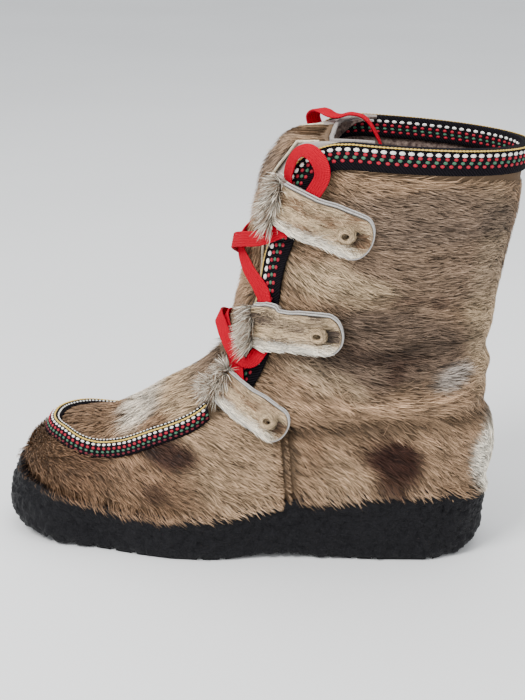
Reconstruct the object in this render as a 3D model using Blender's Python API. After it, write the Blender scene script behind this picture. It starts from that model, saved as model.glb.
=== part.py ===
"""A left winter boot of short fur with a moccasin front, on a rubber unit sole.

The toe points along -Y, +X is the outer side of the foot and +Z is up. The boot stands on z = 0.
Every piece is read from one surface, the last. A place runs from the toe tip (0) over the foot,
fans round the ankle and climbs to the collar (LAST_PLACE). At each place a share of the girth runs
from the bed edge, or the back centre of the leg (0), to the front centre (1).
"""
import bpy
import bmesh
import numpy as np

# Driving dimensions, in metres
SOLE_LENGTH = 0.297
BALL_WIDTH = 0.104
TOE_REACH = 0.049
TOE_HEIGHT = 0.073
FRONT_HEIGHT = 0.257
BACK_HEIGHT = 0.248
SEAT_BALL = 0.014
SEAT_HEEL = 0.030
TOE_SPRING = 0.007
SIDE_BALL = 0.0275
SIDE_HEEL = 0.046
TOE_GUARD = 0.045
WALL = 0.0028
FIT = 0.0003
CUP_FIT = 0.0009
SEAT_FIT = 0.0007

TOE_ROUND = 2.15
TOE_STATION = 2
CORNER = 0.17

# A row for each section of the last. y and half are shares of the sole's length and the ball's width,
# spring, bed and leg lift the lower end, top lifts the upper end, guard and rise lift the rim line.
COLUMNS = (
    "low_y", "spring", "bed", "leg", "top_y", "top", "half", "shift",
    "base", "widest", "upper", "lower", "edge", "guard", "rise",
)
STATIONS = (
    (-.331, 1.0, 0, 0, -.331, 0, .385, -.048, .94, .44, 2.2, 2.4, .660, 1.0, 0),
    (-.331, .43, 0, 0, -.331, 0, .385, -.048, .95, .43, 2.35, 2.4, .655, .50, 0),
    (-.331, .14, 0, 0, -.331, 0, .385, -.048, .95, .42, 2.5, 2.4, .593, .14, 0),
    (-.260, 0, 0, 0, -.267, .043, .418, -.034, .95, .38, 2.35, 2.4, .577, .03, 0),
    (-.179, 0, 0, 0, -.196, .120, .447, -.005, .95, .34, 2.15, 2.4, .600, 0, 0),
    (-.078, 0, .06, 0, -.129, .190, .428, .019, .94, .31, 1.95, 2.4, .643, 0, .07),
    (.023, 0, .25, 0, -.092, .239, .370, .024, .93, .31, 1.85, 2.4, .725, 0, .36),
    (.124, 0, .50, 0, -.068, .299, .346, .019, .92, .33, 1.85, 2.4, .768, 0, .58),
    (.225, 0, .75, 0, -.056, .364, .341, .014, .92, .36, 1.9, 2.4, .795, 0, .80),
    (.319, 0, .88, 0, -.048, .424, .346, .010, .90, .40, 1.95, 2.4, .815, 0, .96),
    (.382, 0, .94, 0, -.044, .457, .351, .007, .84, .43, 2.0, 2.6, .840, 0, 1.0),
    (.425, 0, .97, 0, -.039, .489, .356, .005, .60, .46, 2.0, 2.9, .860, 0, .95),
    (.442, 0, 1.0, 0, -.036, .522, .361, .004, 0, .47, 2.0, 3.0, .866, 0, .82),
    (.488, 0, 1.0, .165, -.029, .582, .370, .002, 0, .48, 2.0, 2.6, .862, 0, .62),
    (.461, 0, 1.0, .376, -.019, .668, .389, 0, 0, .49, 2.0, 2.3, .840, 0, .62),
    (.474, 0, 1.0, .555, -.009, .766, .418, 0, 0, .50, 2.05, 2.1, .808, 0, .62),
    (.498, 0, 1.0, .780, .003, .859, .457, -.004, 0, .52, 2.1, 2.1, .787, 0, .62),
    (.525, 0, 1.0, 1.0, .023, 1.0, .495, -.007, 0, .54, 2.1, 2.1, .787, 0, .62),
)
LAST_PLACE = len(STATIONS) - 1
HEEL_PLACE = 12
PLUG_END = 6.2
TABLE = {name: np.array([row[i] for row in STATIONS]) for i, name in enumerate(COLUMNS)}

# Raised seam and braids
RIB_HEIGHT = 0.0032
RIB_TOP = 0.0015
RIB_FOOT = 0.0027
RIB_END = 6.1
BRAID = 0.0012
BRAID_FIT = 0.0005
BRAID_OUTSIDE = 0.0145
BRAID_INSIDE = 0.0110
VAMP_BRAID_END = 5.5
EDGE_BRAID_START = 6.55

# Tongue and insole
TONGUE_THICK = 0.0035
TONGUE_FIT = 0.0013
TONGUE_START = 5.5
TONGUE_RISE = 0.006
TONGUE_SIDE_RISE = 0.0009
TONGUE_LEAN = 0.028
TONGUE_DROP = 0.0105
INSOLE_THICK = 0.0035
INSOLE_FIT = 0.0027

# Lace
LACE_WIDTH = 0.0090
LACE_THICK = 0.0016

# Sole
LEDGE = 0.0040
RIM_BAND = 0.0050
BAND_STEP = 0.0010
TREAD = 0.0050
TREAD_STEP = 0.0008
GROOVE = 0.0030
GROOVE_SLOPE = 0.0010
TOE_BULGE = 0.0080
TOE_LIFT = 0.0090
HEEL_ROLL = 0.0070
HEEL_FIT = 0.0018
HEEL_LIFT = 0.0085
ARCH = 0.0042


def smooth(values, place, first=0):
    """A monotone cubic through values at whole places, from the place called first onwards."""
    v = values[first:]
    step = np.diff(v)
    slope = np.zeros(len(v))
    both = step[:-1] * step[1:] > 0
    slope[1:-1][both] = 2 * (step[:-1] * step[1:])[both] / (step[:-1] + step[1:])[both]
    slope[0] = 1.5 * step[0] - 0.5 * slope[1]
    slope[-1] = 1.5 * step[-1] - 0.5 * slope[-2]
    x = max(place - first, 0)
    i = min(int(x), len(v) - 2)
    f = x - i
    start = (1 + 2 * f) * (1 - f) ** 2 * v[i] + f * (1 - f) ** 2 * slope[i]
    end = f * f * (3 - 2 * f) * v[i + 1] + f * f * (f - 1) * slope[i + 1]
    return float(start + end)


def column(name, place):
    """One column of the stations, read at any place."""
    return smooth(TABLE[name], place, TOE_STATION if name in ("low_y", "top_y") else 0)


def seat_height(place):
    """Height of the footbed's edge under a place."""
    return (
        SEAT_BALL
        + column("spring", place) * TOE_SPRING
        + column("bed", place) * (SEAT_HEEL - SEAT_BALL)
    )


def rim_height(place):
    """Height of the sole's rim beside a place."""
    guard = column("guard", place) * (TOE_GUARD - SIDE_BALL)
    return SIDE_BALL + guard + column("rise", place) * (SIDE_HEEL - SIDE_BALL)


def edge_share(place):
    """Share of the girth at the raised seam and, above it, at the throat's edge, with its round corner."""
    past = min(max(place - (LAST_PLACE - 1), 0), 1)
    return column("edge", place) - CORNER * (1 - (1 - past * past) ** 0.5)


SECTIONS = {}


def section(place):
    """Half a section as (out, up) shares at fine steps, with its length share: two superellipse arcs."""
    key = round(place, 5)
    if key not in SECTIONS:
        base, widest = max(column("base", place), 0), column("widest", place)
        upper, lower = column("upper", place), column("lower", place)
        foot = max(1 - base**lower, 0) ** (1 / lower)
        turn = np.linspace(np.arcsin(min(foot ** (lower / 2), 1)), 0, 90)
        low_out = np.cos(turn) ** (2 / lower)
        low_up = widest * (1 - np.sin(turn) ** (2 / lower) / foot)
        turn = np.linspace(0, np.pi / 2, 90)[1:]
        top_out = np.clip(np.cos(turn), 0, 1) ** (2 / upper)
        top_up = widest + (1 - widest) * np.sin(turn) ** (2 / upper)
        out = np.append(low_out, top_out)
        out[0] = base
        out[-1] = 0
        up = np.append(low_up, top_up)
        angle = np.radians(min(place, TOE_STATION) * 90 / TOE_STATION)
        half = column("half", place) * BALL_WIDTH
        ahead, aside = np.cos(angle), np.sin(angle)
        radius = half
        if place < TOE_STATION:
            radius = ((ahead / TOE_REACH) ** TOE_ROUND + (aside / half) ** TOE_ROUND) ** (-1 / TOE_ROUND)
        low_y = column("low_y", place) * SOLE_LENGTH
        low_z = seat_height(place) + column("leg", place) * (BACK_HEIGHT - SEAT_HEEL)
        top_y = column("top_y", place) * SOLE_LENGTH
        top_z = TOE_HEIGHT + column("top", place) * (FRONT_HEIGHT - TOE_HEIGHT)
        x = aside * radius * out
        if place >= TOE_STATION:
            ahead = 0
        y = low_y + (top_y - low_y) * up - ahead * radius * out
        z = low_z + (top_z - low_z) * up
        run = np.append(0, np.cumsum(np.sqrt(np.diff(x) ** 2 + np.diff(y) ** 2 + np.diff(z) ** 2)))
        SECTIONS[key] = x, y, z, run / run[-1], run[-1], column("shift", place) * BALL_WIDTH
    return SECTIONS[key]


def girth(place):
    """Length of the half-section at a place."""
    return section(place)[4]


def last_point(place, share, side):
    """A point of the last."""
    x, y, z, run, _, shift = section(place)
    return np.array(
        (shift + side * np.interp(share, run, x), np.interp(share, run, y), np.interp(share, run, z))
    )


def along(place, share, side):
    """How the last runs on per unit of place and per unit of share."""
    a, b = max(place - 0.03, 0), min(place + 0.03, LAST_PLACE)
    c, d = max(share - 0.005, 0), min(share + 0.005, 1)
    by_place = (last_point(b, share, side) - last_point(a, share, side)) / (b - a)
    by_share = (last_point(place, d, side) - last_point(place, c, side)) / (d - c)
    return by_place, by_share


def outward(place, share, side):
    """The last's outward direction. On the middle lines it stays in the middle plane."""
    inside = min(share, 0.995) if place <= TOE_STATION else share
    by_place, by_share = along(place, inside, side)
    normal = np.cross(by_place, by_share) * side
    if place == 0 or share == 1 or (share == 0 and place >= HEEL_PLACE):
        normal[0] = 0
    return normal / np.linalg.norm(normal)


def skin(place, share, side, height=0.0):
    """A point that stands off the last by a height."""
    return last_point(place, share, side) + height * outward(place, share, side)


def material(name, colour, roughness):
    """A plain painted finish."""
    finish = bpy.data.materials.new(name)
    finish.use_nodes = True
    shader = finish.node_tree.nodes["Principled BSDF"]
    shader.inputs["Base Color"].default_value = (*colour, 1)
    shader.inputs["Roughness"].default_value = roughness
    shader.inputs["Metallic"].default_value = 0
    return finish


def make(name, points, faces, finish):
    """One named object from points and faces, with its faces pointing out."""
    mesh = bpy.data.meshes.new(name)
    mesh.from_pydata([tuple(p) for p in points], [], faces)
    shape = bmesh.new()
    shape.from_mesh(mesh)
    bmesh.ops.recalc_face_normals(shape, faces=shape.faces)
    shape.to_mesh(mesh)
    shape.free()
    mesh.shade_smooth()
    mesh.materials.append(finish)
    thing = bpy.data.objects.new(name, mesh)
    bpy.context.scene.collection.objects.link(thing)
    return thing


def patch(rows, start):
    """Faces of a grid of points whose numbers begin at start. rows holds how many points each way."""
    count, across = rows
    return [
        (
            start + i * across + j,
            start + (i + 1) * across + j,
            start + (i + 1) * across + j + 1,
            start + i * across + j + 1,
        )
        for i in range(count - 1)
        for j in range(across - 1)
    ]


def sheet(name, patches, finish):
    """A closed wall between two grids, outer and inner, which joins patches where their points meet."""
    outer, inner, faces = [], [], []
    for top, under, flip in patches:
        grid = patch(top.shape[:2], len(outer))
        faces += [face[::-1] for face in grid] if flip else grid
        outer += list(top.reshape(-1, 3))
        inner += list(under.reshape(-1, 3))
    keys = {}
    number = [keys.setdefault(tuple(np.round(p * 1e6).astype(int)), i) for i, p in enumerate(outer)]
    used = sorted(set(number))
    place = {old: new for new, old in enumerate(used)}
    kept = []
    for face in faces:
        corners = [place[number[i]] for i in face]
        corners = [c for c, before in zip(corners, corners[-1:] + corners[:-1]) if c != before]
        if len(set(corners)) > 2:
            kept.append(tuple(corners))
    sides = {}
    for face in kept:
        for a, b in zip(face, face[1:] + face[:1]):
            sides[a, b] = True
    rim = [(a, b) for a, b in sides if (b, a) not in sides]
    count = len(used)
    walls = [(b, a, a + count, b + count) for a, b in rim]
    backs = [tuple(i + count for i in face[::-1]) for face in kept]
    points = [outer[i] for i in used] + [inner[i] for i in used]
    return make(name, points, kept + backs + walls, finish)


def rib_rows(place, edge):
    """Shares at the foot and the top of the raised seam, on the vamp's side and on the panel's."""
    length = girth(place)
    return [edge + d / length for d in (-RIB_FOOT, -RIB_TOP, 0, RIB_TOP, RIB_FOOT)]


UPPER_PLACES = (
    [0, .3, .6, .9, 1.2, 1.6, 2, 2.5, 3, 3.5, 4, 4.5, 5, 5.5, RIB_END, PLUG_END, EDGE_BRAID_START]
    + [7, 8, 9, 10, 10.5, 11, 11.5, 12, 12.5, 13, 13.5, 14, 15, 16, 16.35, 16.65, 16.87, LAST_PLACE]
)
WALL_ROWS = (0, .10, .23, .38, .53, .67, .80, .92)
PLUG_ROWS = (.28, .6, 1.0)


def upper_shares(place):
    """Shares of the upper's rows from the bed edge or back centre to the seam or throat edge."""
    edge = edge_share(place)
    foot, top = rib_rows(place, edge)[:2]
    rows = [foot * v / WALL_ROWS[-1] * 0.93 for v in WALL_ROWS]
    return rows + [foot, top, edge]


def build_upper(finish):
    """The fur shell: one wall from the toe to the collar on each side, and the front panel between."""
    patches = []
    for side in (1, -1):
        outer, inner = [], []
        for place in UPPER_PLACES:
            raised = RIB_HEIGHT if place < RIB_END else 0
            shares = upper_shares(place)
            heights = [0] * (len(shares) - 2) + [raised, raised]
            outer.append([skin(place, s, side, h) for s, h in zip(shares, heights)])
            inner.append([skin(place, s, side, -WALL) for s in shares])
        patches.append((np.array(outer), np.array(inner), side < 0))
        outer, inner = [], []
        for place in [p for p in UPPER_PLACES if p <= PLUG_END]:
            raised = RIB_HEIGHT if place < RIB_END else 0
            edge, top, foot = rib_rows(place, edge_share(place))[2:]
            shares = [edge, top, foot] + [foot + (1 - foot) * v for v in PLUG_ROWS]
            heights = [raised, raised] + [0] * (len(shares) - 2)
            outer.append([skin(place, s, side, h) for s, h in zip(shares, heights)])
            inner.append([skin(place, s, side, -WALL) for s in shares])
        patches.append((np.array(outer), np.array(inner), side < 0))
    return sheet("upper", patches, finish)


def build_vamp_braid(finish):
    """Braid folded over the raised seam, from one side of the throat round the toe to the other."""
    places = [p for p in UPPER_PLACES if p < VAMP_BRAID_END] + [VAMP_BRAID_END]
    clear = RIB_HEIGHT + FIT
    route = [(p, -1) for p in places[:0:-1]] + [(p, 1) for p in places]
    outer, inner = [], []
    for place, side in route:
        edge, length = edge_share(place), girth(place)
        top, foot = RIB_TOP + FIT, RIB_FOOT + FIT
        profile = ((-foot, FIT), (-top, clear), (top, clear), (foot, FIT))
        inside = [skin(place, edge + d / length, side, h) for d, h in profile]
        profile = (
            (-foot - BRAID, FIT),
            (-top - BRAID / 2, clear + BRAID),
            (top + BRAID / 2, clear + BRAID),
            (foot + BRAID, FIT),
        )
        outer.append([skin(place, edge + d / length, side, h) for d, h in profile])
        inner.append(inside)
    return sheet("vamp_braid", [(np.array(outer), np.array(inner), False)], finish)


def edge_route():
    """Places, shares and sides along the throat and collar edges, from the outer throat to the inner."""
    half = [(p, edge_share(p)) for p in UPPER_PLACES if p >= EDGE_BRAID_START]
    collar = upper_shares(LAST_PLACE)
    half += [(LAST_PLACE, s) for s in collar[-2::-1]]
    return [(p, s, 1) for p, s in half] + [(p, s, -1) for p, s in half[-2::-1]]


def build_edge_braid(finish):
    """Braid folded over the throat and collar edges: a leg outside, a top and a leg inside."""
    route = edge_route()
    spots = np.array([last_point(p, s, side) for p, s, side in route])
    outer, inner = [], []
    for i, (place, share, side) in enumerate(route):
        ahead = spots[min(i + 1, len(spots) - 1)] - spots[max(i - 1, 0)]
        normal = outward(place, share, side)
        inwards = np.cross(ahead, normal)
        inwards /= np.linalg.norm(inwards)
        by_place, by_share = along(place, share, side)
        if share == 0:
            inwards[0] = 0
        step, *_ = np.linalg.lstsq(np.stack([by_place, by_share], 1), inwards, rcond=None)
        if step @ (-(place - 5), -share - 0.5) < 0:
            step, inwards = -step, -inwards

        def off_edge(deep, height):
            """A point deep inside the edge, at a height off the last."""
            far = min(place + step[0] * deep, LAST_PLACE)
            across = share + step[1] * deep
            other = -side if across < 0 else side
            return skin(far, abs(across), other, height)

        rim = last_point(place, share, side) - inwards * (BRAID_FIT + BRAID)
        bare = last_point(place, share, side) - inwards * BRAID_FIT
        out, back = BRAID_FIT + BRAID, -WALL - BRAID_FIT - BRAID
        outer.append([
            off_edge(BRAID_OUTSIDE, out), off_edge(BRAID_OUTSIDE / 2, out), rim + normal * out,
            rim + normal * back, off_edge(BRAID_INSIDE / 2, back), off_edge(BRAID_INSIDE, back),
        ])
        out, back = BRAID_FIT, -WALL - BRAID_FIT
        inner.append([
            off_edge(BRAID_OUTSIDE, out), off_edge(BRAID_OUTSIDE / 2, out), bare + normal * out,
            bare + normal * back, off_edge(BRAID_INSIDE / 2, back), off_edge(BRAID_INSIDE, back),
        ])
    return sheet("edge_braid", [(np.array(outer), np.array(inner), False)], finish)


def tongue_point(place, share, side, height):
    """A point of the tongue: it follows the last, rises over the collar and leans back into the boot."""
    on = min(place, LAST_PLACE)
    point = skin(on, share, side, height)
    past = max(place - (LAST_PLACE - 1), 0)
    above = max(place - LAST_PLACE, 0)
    by_place, _ = along(on, share, side)
    middle = min(max((share - 0.68) / 0.27, 0), 1)
    middle = middle * middle * (3 - 2 * middle)
    rise = TONGUE_SIDE_RISE + (TONGUE_RISE - TONGUE_SIDE_RISE) * middle
    point += by_place / np.linalg.norm(by_place) * above * rise
    return point + np.array((0, TONGUE_LEAN * past * past / 4, -TONGUE_DROP * past / 2)) * middle


def build_tongue(finish):
    """The wide tongue: its foot lies under the front panel and its sides under the quarters."""
    places = [TONGUE_START] + [p for p in UPPER_PLACES if p > TONGUE_START] + [LAST_PLACE + 1]
    top = -WALL - BRAID - BRAID_FIT - TONGUE_FIT
    patches = []
    for side in (1, -1):
        outer, inner = [], []
        for place in places:
            on = min(place, LAST_PLACE)
            rows = upper_shares(on)[-4:]
            rows += [rows[-1] + (1 - rows[-1]) * v for v in (.3, .65, 1)]
            outer.append([tongue_point(place, s, side, top) for s in rows])
            inner.append([tongue_point(place, s, side, top - TONGUE_THICK) for s in rows])
        patches.append((np.array(outer), np.array(inner), side < 0))
    return sheet("tongue", patches, finish)


def level_loop(raise_share):
    """The last's outline, between the bed (0) and the rim (1), from toe to heel on the outer side."""
    line = []
    for place in np.linspace(0, HEEL_PLACE + 1.2, 330):
        bed = seat_height(min(place, HEEL_PLACE))
        level = bed + raise_share * (rim_height(place) - bed)
        x, y, z, run, _, shift = section(place)
        if place > HEEL_PLACE if raise_share == 0 else z[0] > level:
            break
        j = 0 if raise_share == 0 else int(np.argmax(z >= level))
        if j == 0:
            point = (x[0], y[0], z[0])
        else:
            f = (level - z[j - 1]) / (z[j] - z[j - 1])
            point = [v[j - 1] + f * (v[j] - v[j - 1]) for v in (x, y, z)]
        line.append((shift, *point))
    shift, _, y, z = line[-1]
    line.append((shift, 0, y, z))
    line = np.array(line)
    halves = []
    for side in (1, -1):
        points = np.stack([line[:, 0] + side * line[:, 1], line[:, 2], line[:, 3]], 1)
        run = np.append(0, np.cumsum(np.linalg.norm(np.diff(points[:, :2], axis=0), axis=1)))
        halves.append((points, run / run[-1]))
    return halves


def ground(y):
    """Height of the tread along the sole: toe spring, arch and the roll behind the heel."""
    toe, heel = -0.304 * SOLE_LENGTH, 0.366 * SOLE_LENGTH
    lift = TOE_LIFT * max((toe - y) / (0.21 * SOLE_LENGTH), 0) ** 1.8
    lift += HEEL_LIFT * max((y - heel) / (0.11 * SOLE_LENGTH), 0) ** 2
    into = (y / SOLE_LENGTH + 0.004) / 0.03
    out = (0.186 - y / SOLE_LENGTH) / 0.11
    arch = min(max(into, 0), 1) * min(max(out, 0), 1)
    return lift + ARCH * arch * (2 - arch)


# Grooves between the lugs: place of the middle and half width along the sole, as shares of its length
GROOVES = (-.419, -.374, -.329, -.284, -.239, -.104, -.059, .211, .251, .361, .401)
GROOVE_HALF = 0.0065


def sole_stations(points, run):
    """Shares along an outline where the sole has points: round ends, and both walls of each groove."""
    ends = (0, .03, .06, .09, .84, .87, .90, .925, .95, .975, 1)
    stops = []
    middle = slice(len(run) // 12, -len(run) // 14)
    for groove in GROOVES:
        for d in (-GROOVE_HALF, -GROOVE_HALF + GROOVE_SLOPE / SOLE_LENGTH,
                  GROOVE_HALF - GROOVE_SLOPE / SOLE_LENGTH, GROOVE_HALF):
            y = (groove + d) * SOLE_LENGTH
            stops.append((float(np.interp(y, points[middle, 1], run[middle])), abs(d) < GROOVE_HALF))
    plain = [(s, False) for s in ends + (.37, .42, .47, .53, .59, .745)]
    return sorted(stops + plain)


def build_sole(finish):
    """The unit sole: rim band, side, tread with lugs, and the cup that the upper stands in."""
    rim, mid, bed = level_loop(1), level_loop(0.5), level_loop(0)
    loops = []
    stations = [sole_stations(*rim[k]) for k in (0, 1)]
    for k, side in ((0, 1), (1, -1)):
        points, run = rim[k]
        rows = []
        for share, grooved in stations[k]:
            at = np.array([np.interp(share, run, points[:, i]) for i in range(3)])
            ahead = np.array(
                [np.interp(min(share + .01, 1), run, points[:, i]) for i in range(2)]
            ) - np.array([np.interp(max(share - .01, 0), run, points[:, i]) for i in range(2)])
            out = np.array((ahead[1], -ahead[0])) * side
            if share in (0, 1):
                out[0] = 0
            out /= np.linalg.norm(out)
            toe = max(1 - share / 0.2, 0)
            toe = toe * toe * (3 - 2 * toe)
            heel = max((share - 0.82) / 0.18, 0)
            heel = heel * heel * (3 - 2 * heel)
            floor = ground(at[1] + 0.5 * toe * TOE_BULGE * out[1])
            dent = GROOVE if grooved else 0

            def point(push, height):
                """A point pushed out from the rim line, at a height."""
                return (*(at[:2] + out * push), height)

            band = at[2] - RIM_BAND
            side_push = LEDGE - BAND_STEP
            half = 0.5 * (band + floor)
            hollow = [np.interp(share, mid[k][1], mid[k][0][:, i]) for i in range(3)]
            seat = [np.interp(share, bed[k][1], bed[k][0][:, i]) for i in range(3)]
            hollow[:2] += out * (CUP_FIT + heel * HEEL_FIT)
            seat[:2] += out * (CUP_FIT + heel * HEEL_FIT)
            rows.append([
                point(side_push + toe * TOE_BULGE * .45 - heel * HEEL_ROLL, floor + dent),
                point(side_push + toe * TOE_BULGE * .85 - heel * HEEL_ROLL * .35, floor + TREAD),
                point(side_push - TREAD_STEP + toe * TOE_BULGE - heel * HEEL_ROLL * .1, half),
                point(side_push + toe * TOE_BULGE * .25, band),
                point(LEDGE + toe * TOE_BULGE * .25, band + BAND_STEP),
                point(LEDGE, at[2]),
                point(CUP_FIT, at[2]),
                tuple(hollow),
                (seat[0], seat[1], seat[2] - SEAT_FIT),
            ])
        loops.append(rows)
    outer, inner = loops
    ring = outer + inner[-2:0:-1]
    around, high = len(ring), len(ring[0])
    points = [p for row in ring for p in row]
    faces = []
    for i in range(around):
        j = (i + 1) % around
        faces += [(i * high + k, j * high + k, j * high + k + 1, i * high + k + 1) for k in range(high - 1)]
    last = len(outer) - 1
    for level in (0, high - 1):
        for i in range(last):
            a, b = i, i + 1
            c, d = (around - b) % around, (around - a) % around
            corners = [n * high + level for n in (a, b, c, d)]
            corners = list(dict.fromkeys(corners))
            faces.append(tuple(corners))
    return make("sole", points, faces, finish)


def build_insole(finish):
    """The footbed, a thin slab on the sole inside the upper."""
    bed = level_loop(0)
    stops = np.append(np.linspace(0, .12, 6), np.append(np.linspace(.2, .86, 9), np.linspace(.9, 1, 6)))
    patches = []
    rows = {0: [], 1: []}
    for k in (0, 1):
        for share in stops:
            points, run = bed[k]
            at = np.array([np.interp(share, run, points[:, i]) for i in range(2)])
            middle = (bed[0][0][:, :2] + bed[1][0][:, :2]) / 2
            own = np.array((np.interp(at[1], middle[:, 1], middle[:, 0]), at[1]))
            ahead = np.array(
                [np.interp(min(share + .01, 1), run, points[:, i]) for i in range(2)]
            ) - np.array([np.interp(max(share - .01, 0), run, points[:, i]) for i in range(2)])
            side = 1 if k == 0 else -1
            out = np.array((ahead[1], -ahead[0])) * side
            if share in (0, 1):
                out[0] = 0
            out /= np.linalg.norm(out)
            rim = at - out * (WALL + INSOLE_FIT)
            if share in (0, 1):
                rim[0] = own[0]
            height = np.interp(share, run, points[:, 2])
            rows[k].append((*rim, height))
    outer = np.array([[a, (np.array(a) + b) / 2, b] for a, b in zip(rows[0], rows[1])])
    lift = np.array((0, 0, INSOLE_THICK))
    patches.append((outer + lift, outer, False))
    return sheet("insole", patches, finish)


def spot(y, z, side):
    """Place and share of the point of the last that has this y and z, found by stepping towards it."""
    places, shares = np.arange(5.5, LAST_PLACE, 0.25), np.arange(0.1, 0.95, 0.05)
    near = [(np.hypot(*(last_point(p, s, side)[1:] - (y, z))), p, s) for p in places for s in shares]
    _, place, share = min(near)
    for _ in range(8):
        by_place, by_share = along(place, share, side)
        slopes = np.stack([by_place[1:], by_share[1:]], 1)
        step = np.linalg.lstsq(slopes, np.array((y, z)) - last_point(place, share, side)[1:], rcond=None)[0]
        place = float(np.clip(place + step[0], 0, LAST_PLACE))
        share = float(np.clip(share + step[1], 0, 1))
    return place, share


# Tabs: front and rear end in side view, as shares of the sole's length and the front's height, and width
TAB_COLUMNS = ("name", "front_y", "front_z", "rear_y", "rear_z", "width")
TABS = (
    ("low", -.061, .411, .070, .315, 0.0210),
    ("mid", .008, .556, .182, .556, 0.0240),
    ("top", .060, .856, .232, .778, 0.0255),
)
TAB_THICK = 0.0018
TAB_GAP = 0.0026
TAB_FIT = 0.0010
TAB_LOW = TAB_FIT + TAB_THICK / 2
TAB_HIGH = TAB_FIT + BRAID_FIT + BRAID + TAB_THICK / 2
TAB_FOLD = (TAB_GAP + TAB_THICK) / 2
LACE_LEVEL = TAB_HIGH + TAB_FOLD
KNOB_RADIUS = 0.0034
KNOB_HIGH = 0.0024
KNOB_PLACE = 0.27
KNOB_FIT = 0.0004
WALK_STEPS = 5


def tab_line(tab, side, steps=9):
    """Middle points of a tab on the last, from the rear to the front, with the outward and cross ways."""
    row = dict(zip(TAB_COLUMNS, tab))
    y = np.linspace(row["rear_y"], row["front_y"], steps) * SOLE_LENGTH
    z = np.linspace(row["rear_z"], row["front_z"], steps) * FRONT_HEIGHT
    spots = [spot(a, b, side) for a, b in zip(y, z)]
    points = np.array([last_point(p, s, side) for p, s in spots])
    normals = np.array([outward(p, s, side) for p, s in spots])
    ahead = np.gradient(points, axis=0)
    across = np.cross(normals, ahead)
    across /= np.linalg.norm(across, axis=1)[:, None]
    return spots, points, normals, across, row["width"]


def under_tab(line, along_share, across_share, side):
    """Place and share of the last under a tab: how far from its rear to its front, and how far across."""
    spots, points, _, across, width = line
    at = along_share * (len(points) - 1)
    low = min(int(at), len(points) - 2)
    f = at - low
    way = across[low] + f * (across[low + 1] - across[low])
    place, share = [a + f * (b - a) for a, b in zip(spots[low], spots[low + 1])]
    for _ in range(WALK_STEPS):
        by_place, by_share = along(place, share, side)
        part_way = way * across_share * width / 2 / WALK_STEPS
        step = np.linalg.lstsq(np.stack([by_place, by_share], 1), part_way, rcond=None)[0]
        place, share = place + step[0], min(share + step[1], 1)
    return place, share


def build_tab(name, tab, side, finish):
    """A folded strap: a lower layer, a fold at the front that the lace runs in, and an upper layer."""
    line = tab_line(tab, side)
    length = np.linalg.norm(np.diff(line[1], axis=0), axis=1).sum()
    low, high, over = TAB_LOW, TAB_HIGH, TAB_HIGH + 2 * TAB_FOLD
    front = 1 - TAB_FOLD / length
    top_rear = low + TAB_THICK + FIT
    path = [
        (0.0, 0.50, low), (0.05, 0.82, low), (0.16, 1.0, low), (0.44, 1.0, low), (0.60, 1.0, high),
        (0.73, 1.0, high), (0.85, 1.0, high), (front, 1.0, high), (1.0, 1.0, LACE_LEVEL),
        (front, 1.0, over), (0.85, 1.0, over), (0.73, 1.0, over), (0.62, 1.0, over),
        (0.44, 1.0, top_rear), (0.16, 1.0, top_rear), (0.05, 0.82, top_rear), (0.0, 0.50, top_rear),
    ]
    flat = np.array([(a * length, h) for a, _, h in path])
    ahead = np.gradient(flat, axis=0)
    ahead /= np.linalg.norm(ahead, axis=1)[:, None]
    forward = line[1][-1] - line[1][-2]
    forward /= np.linalg.norm(forward)
    outer, inner = [], []
    for (share, wide, height), (fore, up) in zip(path, ahead):
        for rows, way in ((outer, -1), (inner, 1)):
            shift = np.array((-up, fore)) * way * TAB_THICK / 2
            at = min(max(share + shift[0] / length, 0), 1)
            past = share + shift[0] / length - at
            row = []
            for across in (-1, 0, 1):
                spot_under = under_tab(line, at, across * wide, side)
                row.append(skin(*spot_under, side, height + shift[1]) + forward * past * length)
            rows.append(row)
    sheet(name, [(np.array(outer), np.array(inner), False)], finish)
    return line, top_rear


def build_knob(name, line, rear_top, finish):
    """The sunk knob that fastens a tab: a turned dome on the upper layer."""
    _, points, normals, across, _ = line
    at = KNOB_PLACE * (len(points) - 1)
    low = int(at)
    f = at - low
    centre, up, over = [v[low] + f * (v[low + 1] - v[low]) for v in (points, normals, across)]
    up = up / np.linalg.norm(up)
    over = over / np.linalg.norm(over)
    ahead = np.cross(over, up)
    base = centre + up * (rear_top + TAB_THICK / 2 + KNOB_FIT)
    rings = ((1.0, 0.0), (1.0, 0.35), (0.72, 0.82))
    sides = 10
    points, faces = [], []
    for radius, high in rings:
        for k in range(sides):
            turn = 2 * np.pi * k / sides
            way = np.cos(turn) * over + np.sin(turn) * ahead
            points.append(base + way * KNOB_RADIUS * radius + up * KNOB_HIGH * high)
    points.append(base + up * KNOB_HIGH)
    for ring in range(len(rings) - 1):
        for k in range(sides):
            n = (k + 1) % sides
            faces.append((ring * sides + k, ring * sides + n, (ring + 1) * sides + n, (ring + 1) * sides + k))
    top = (len(rings) - 1) * sides
    faces += [(top + k, top + (k + 1) % sides, len(points) - 1) for k in range(sides)]
    faces.append(tuple(range(sides))[::-1])
    return make(name, points, faces, finish)


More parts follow.
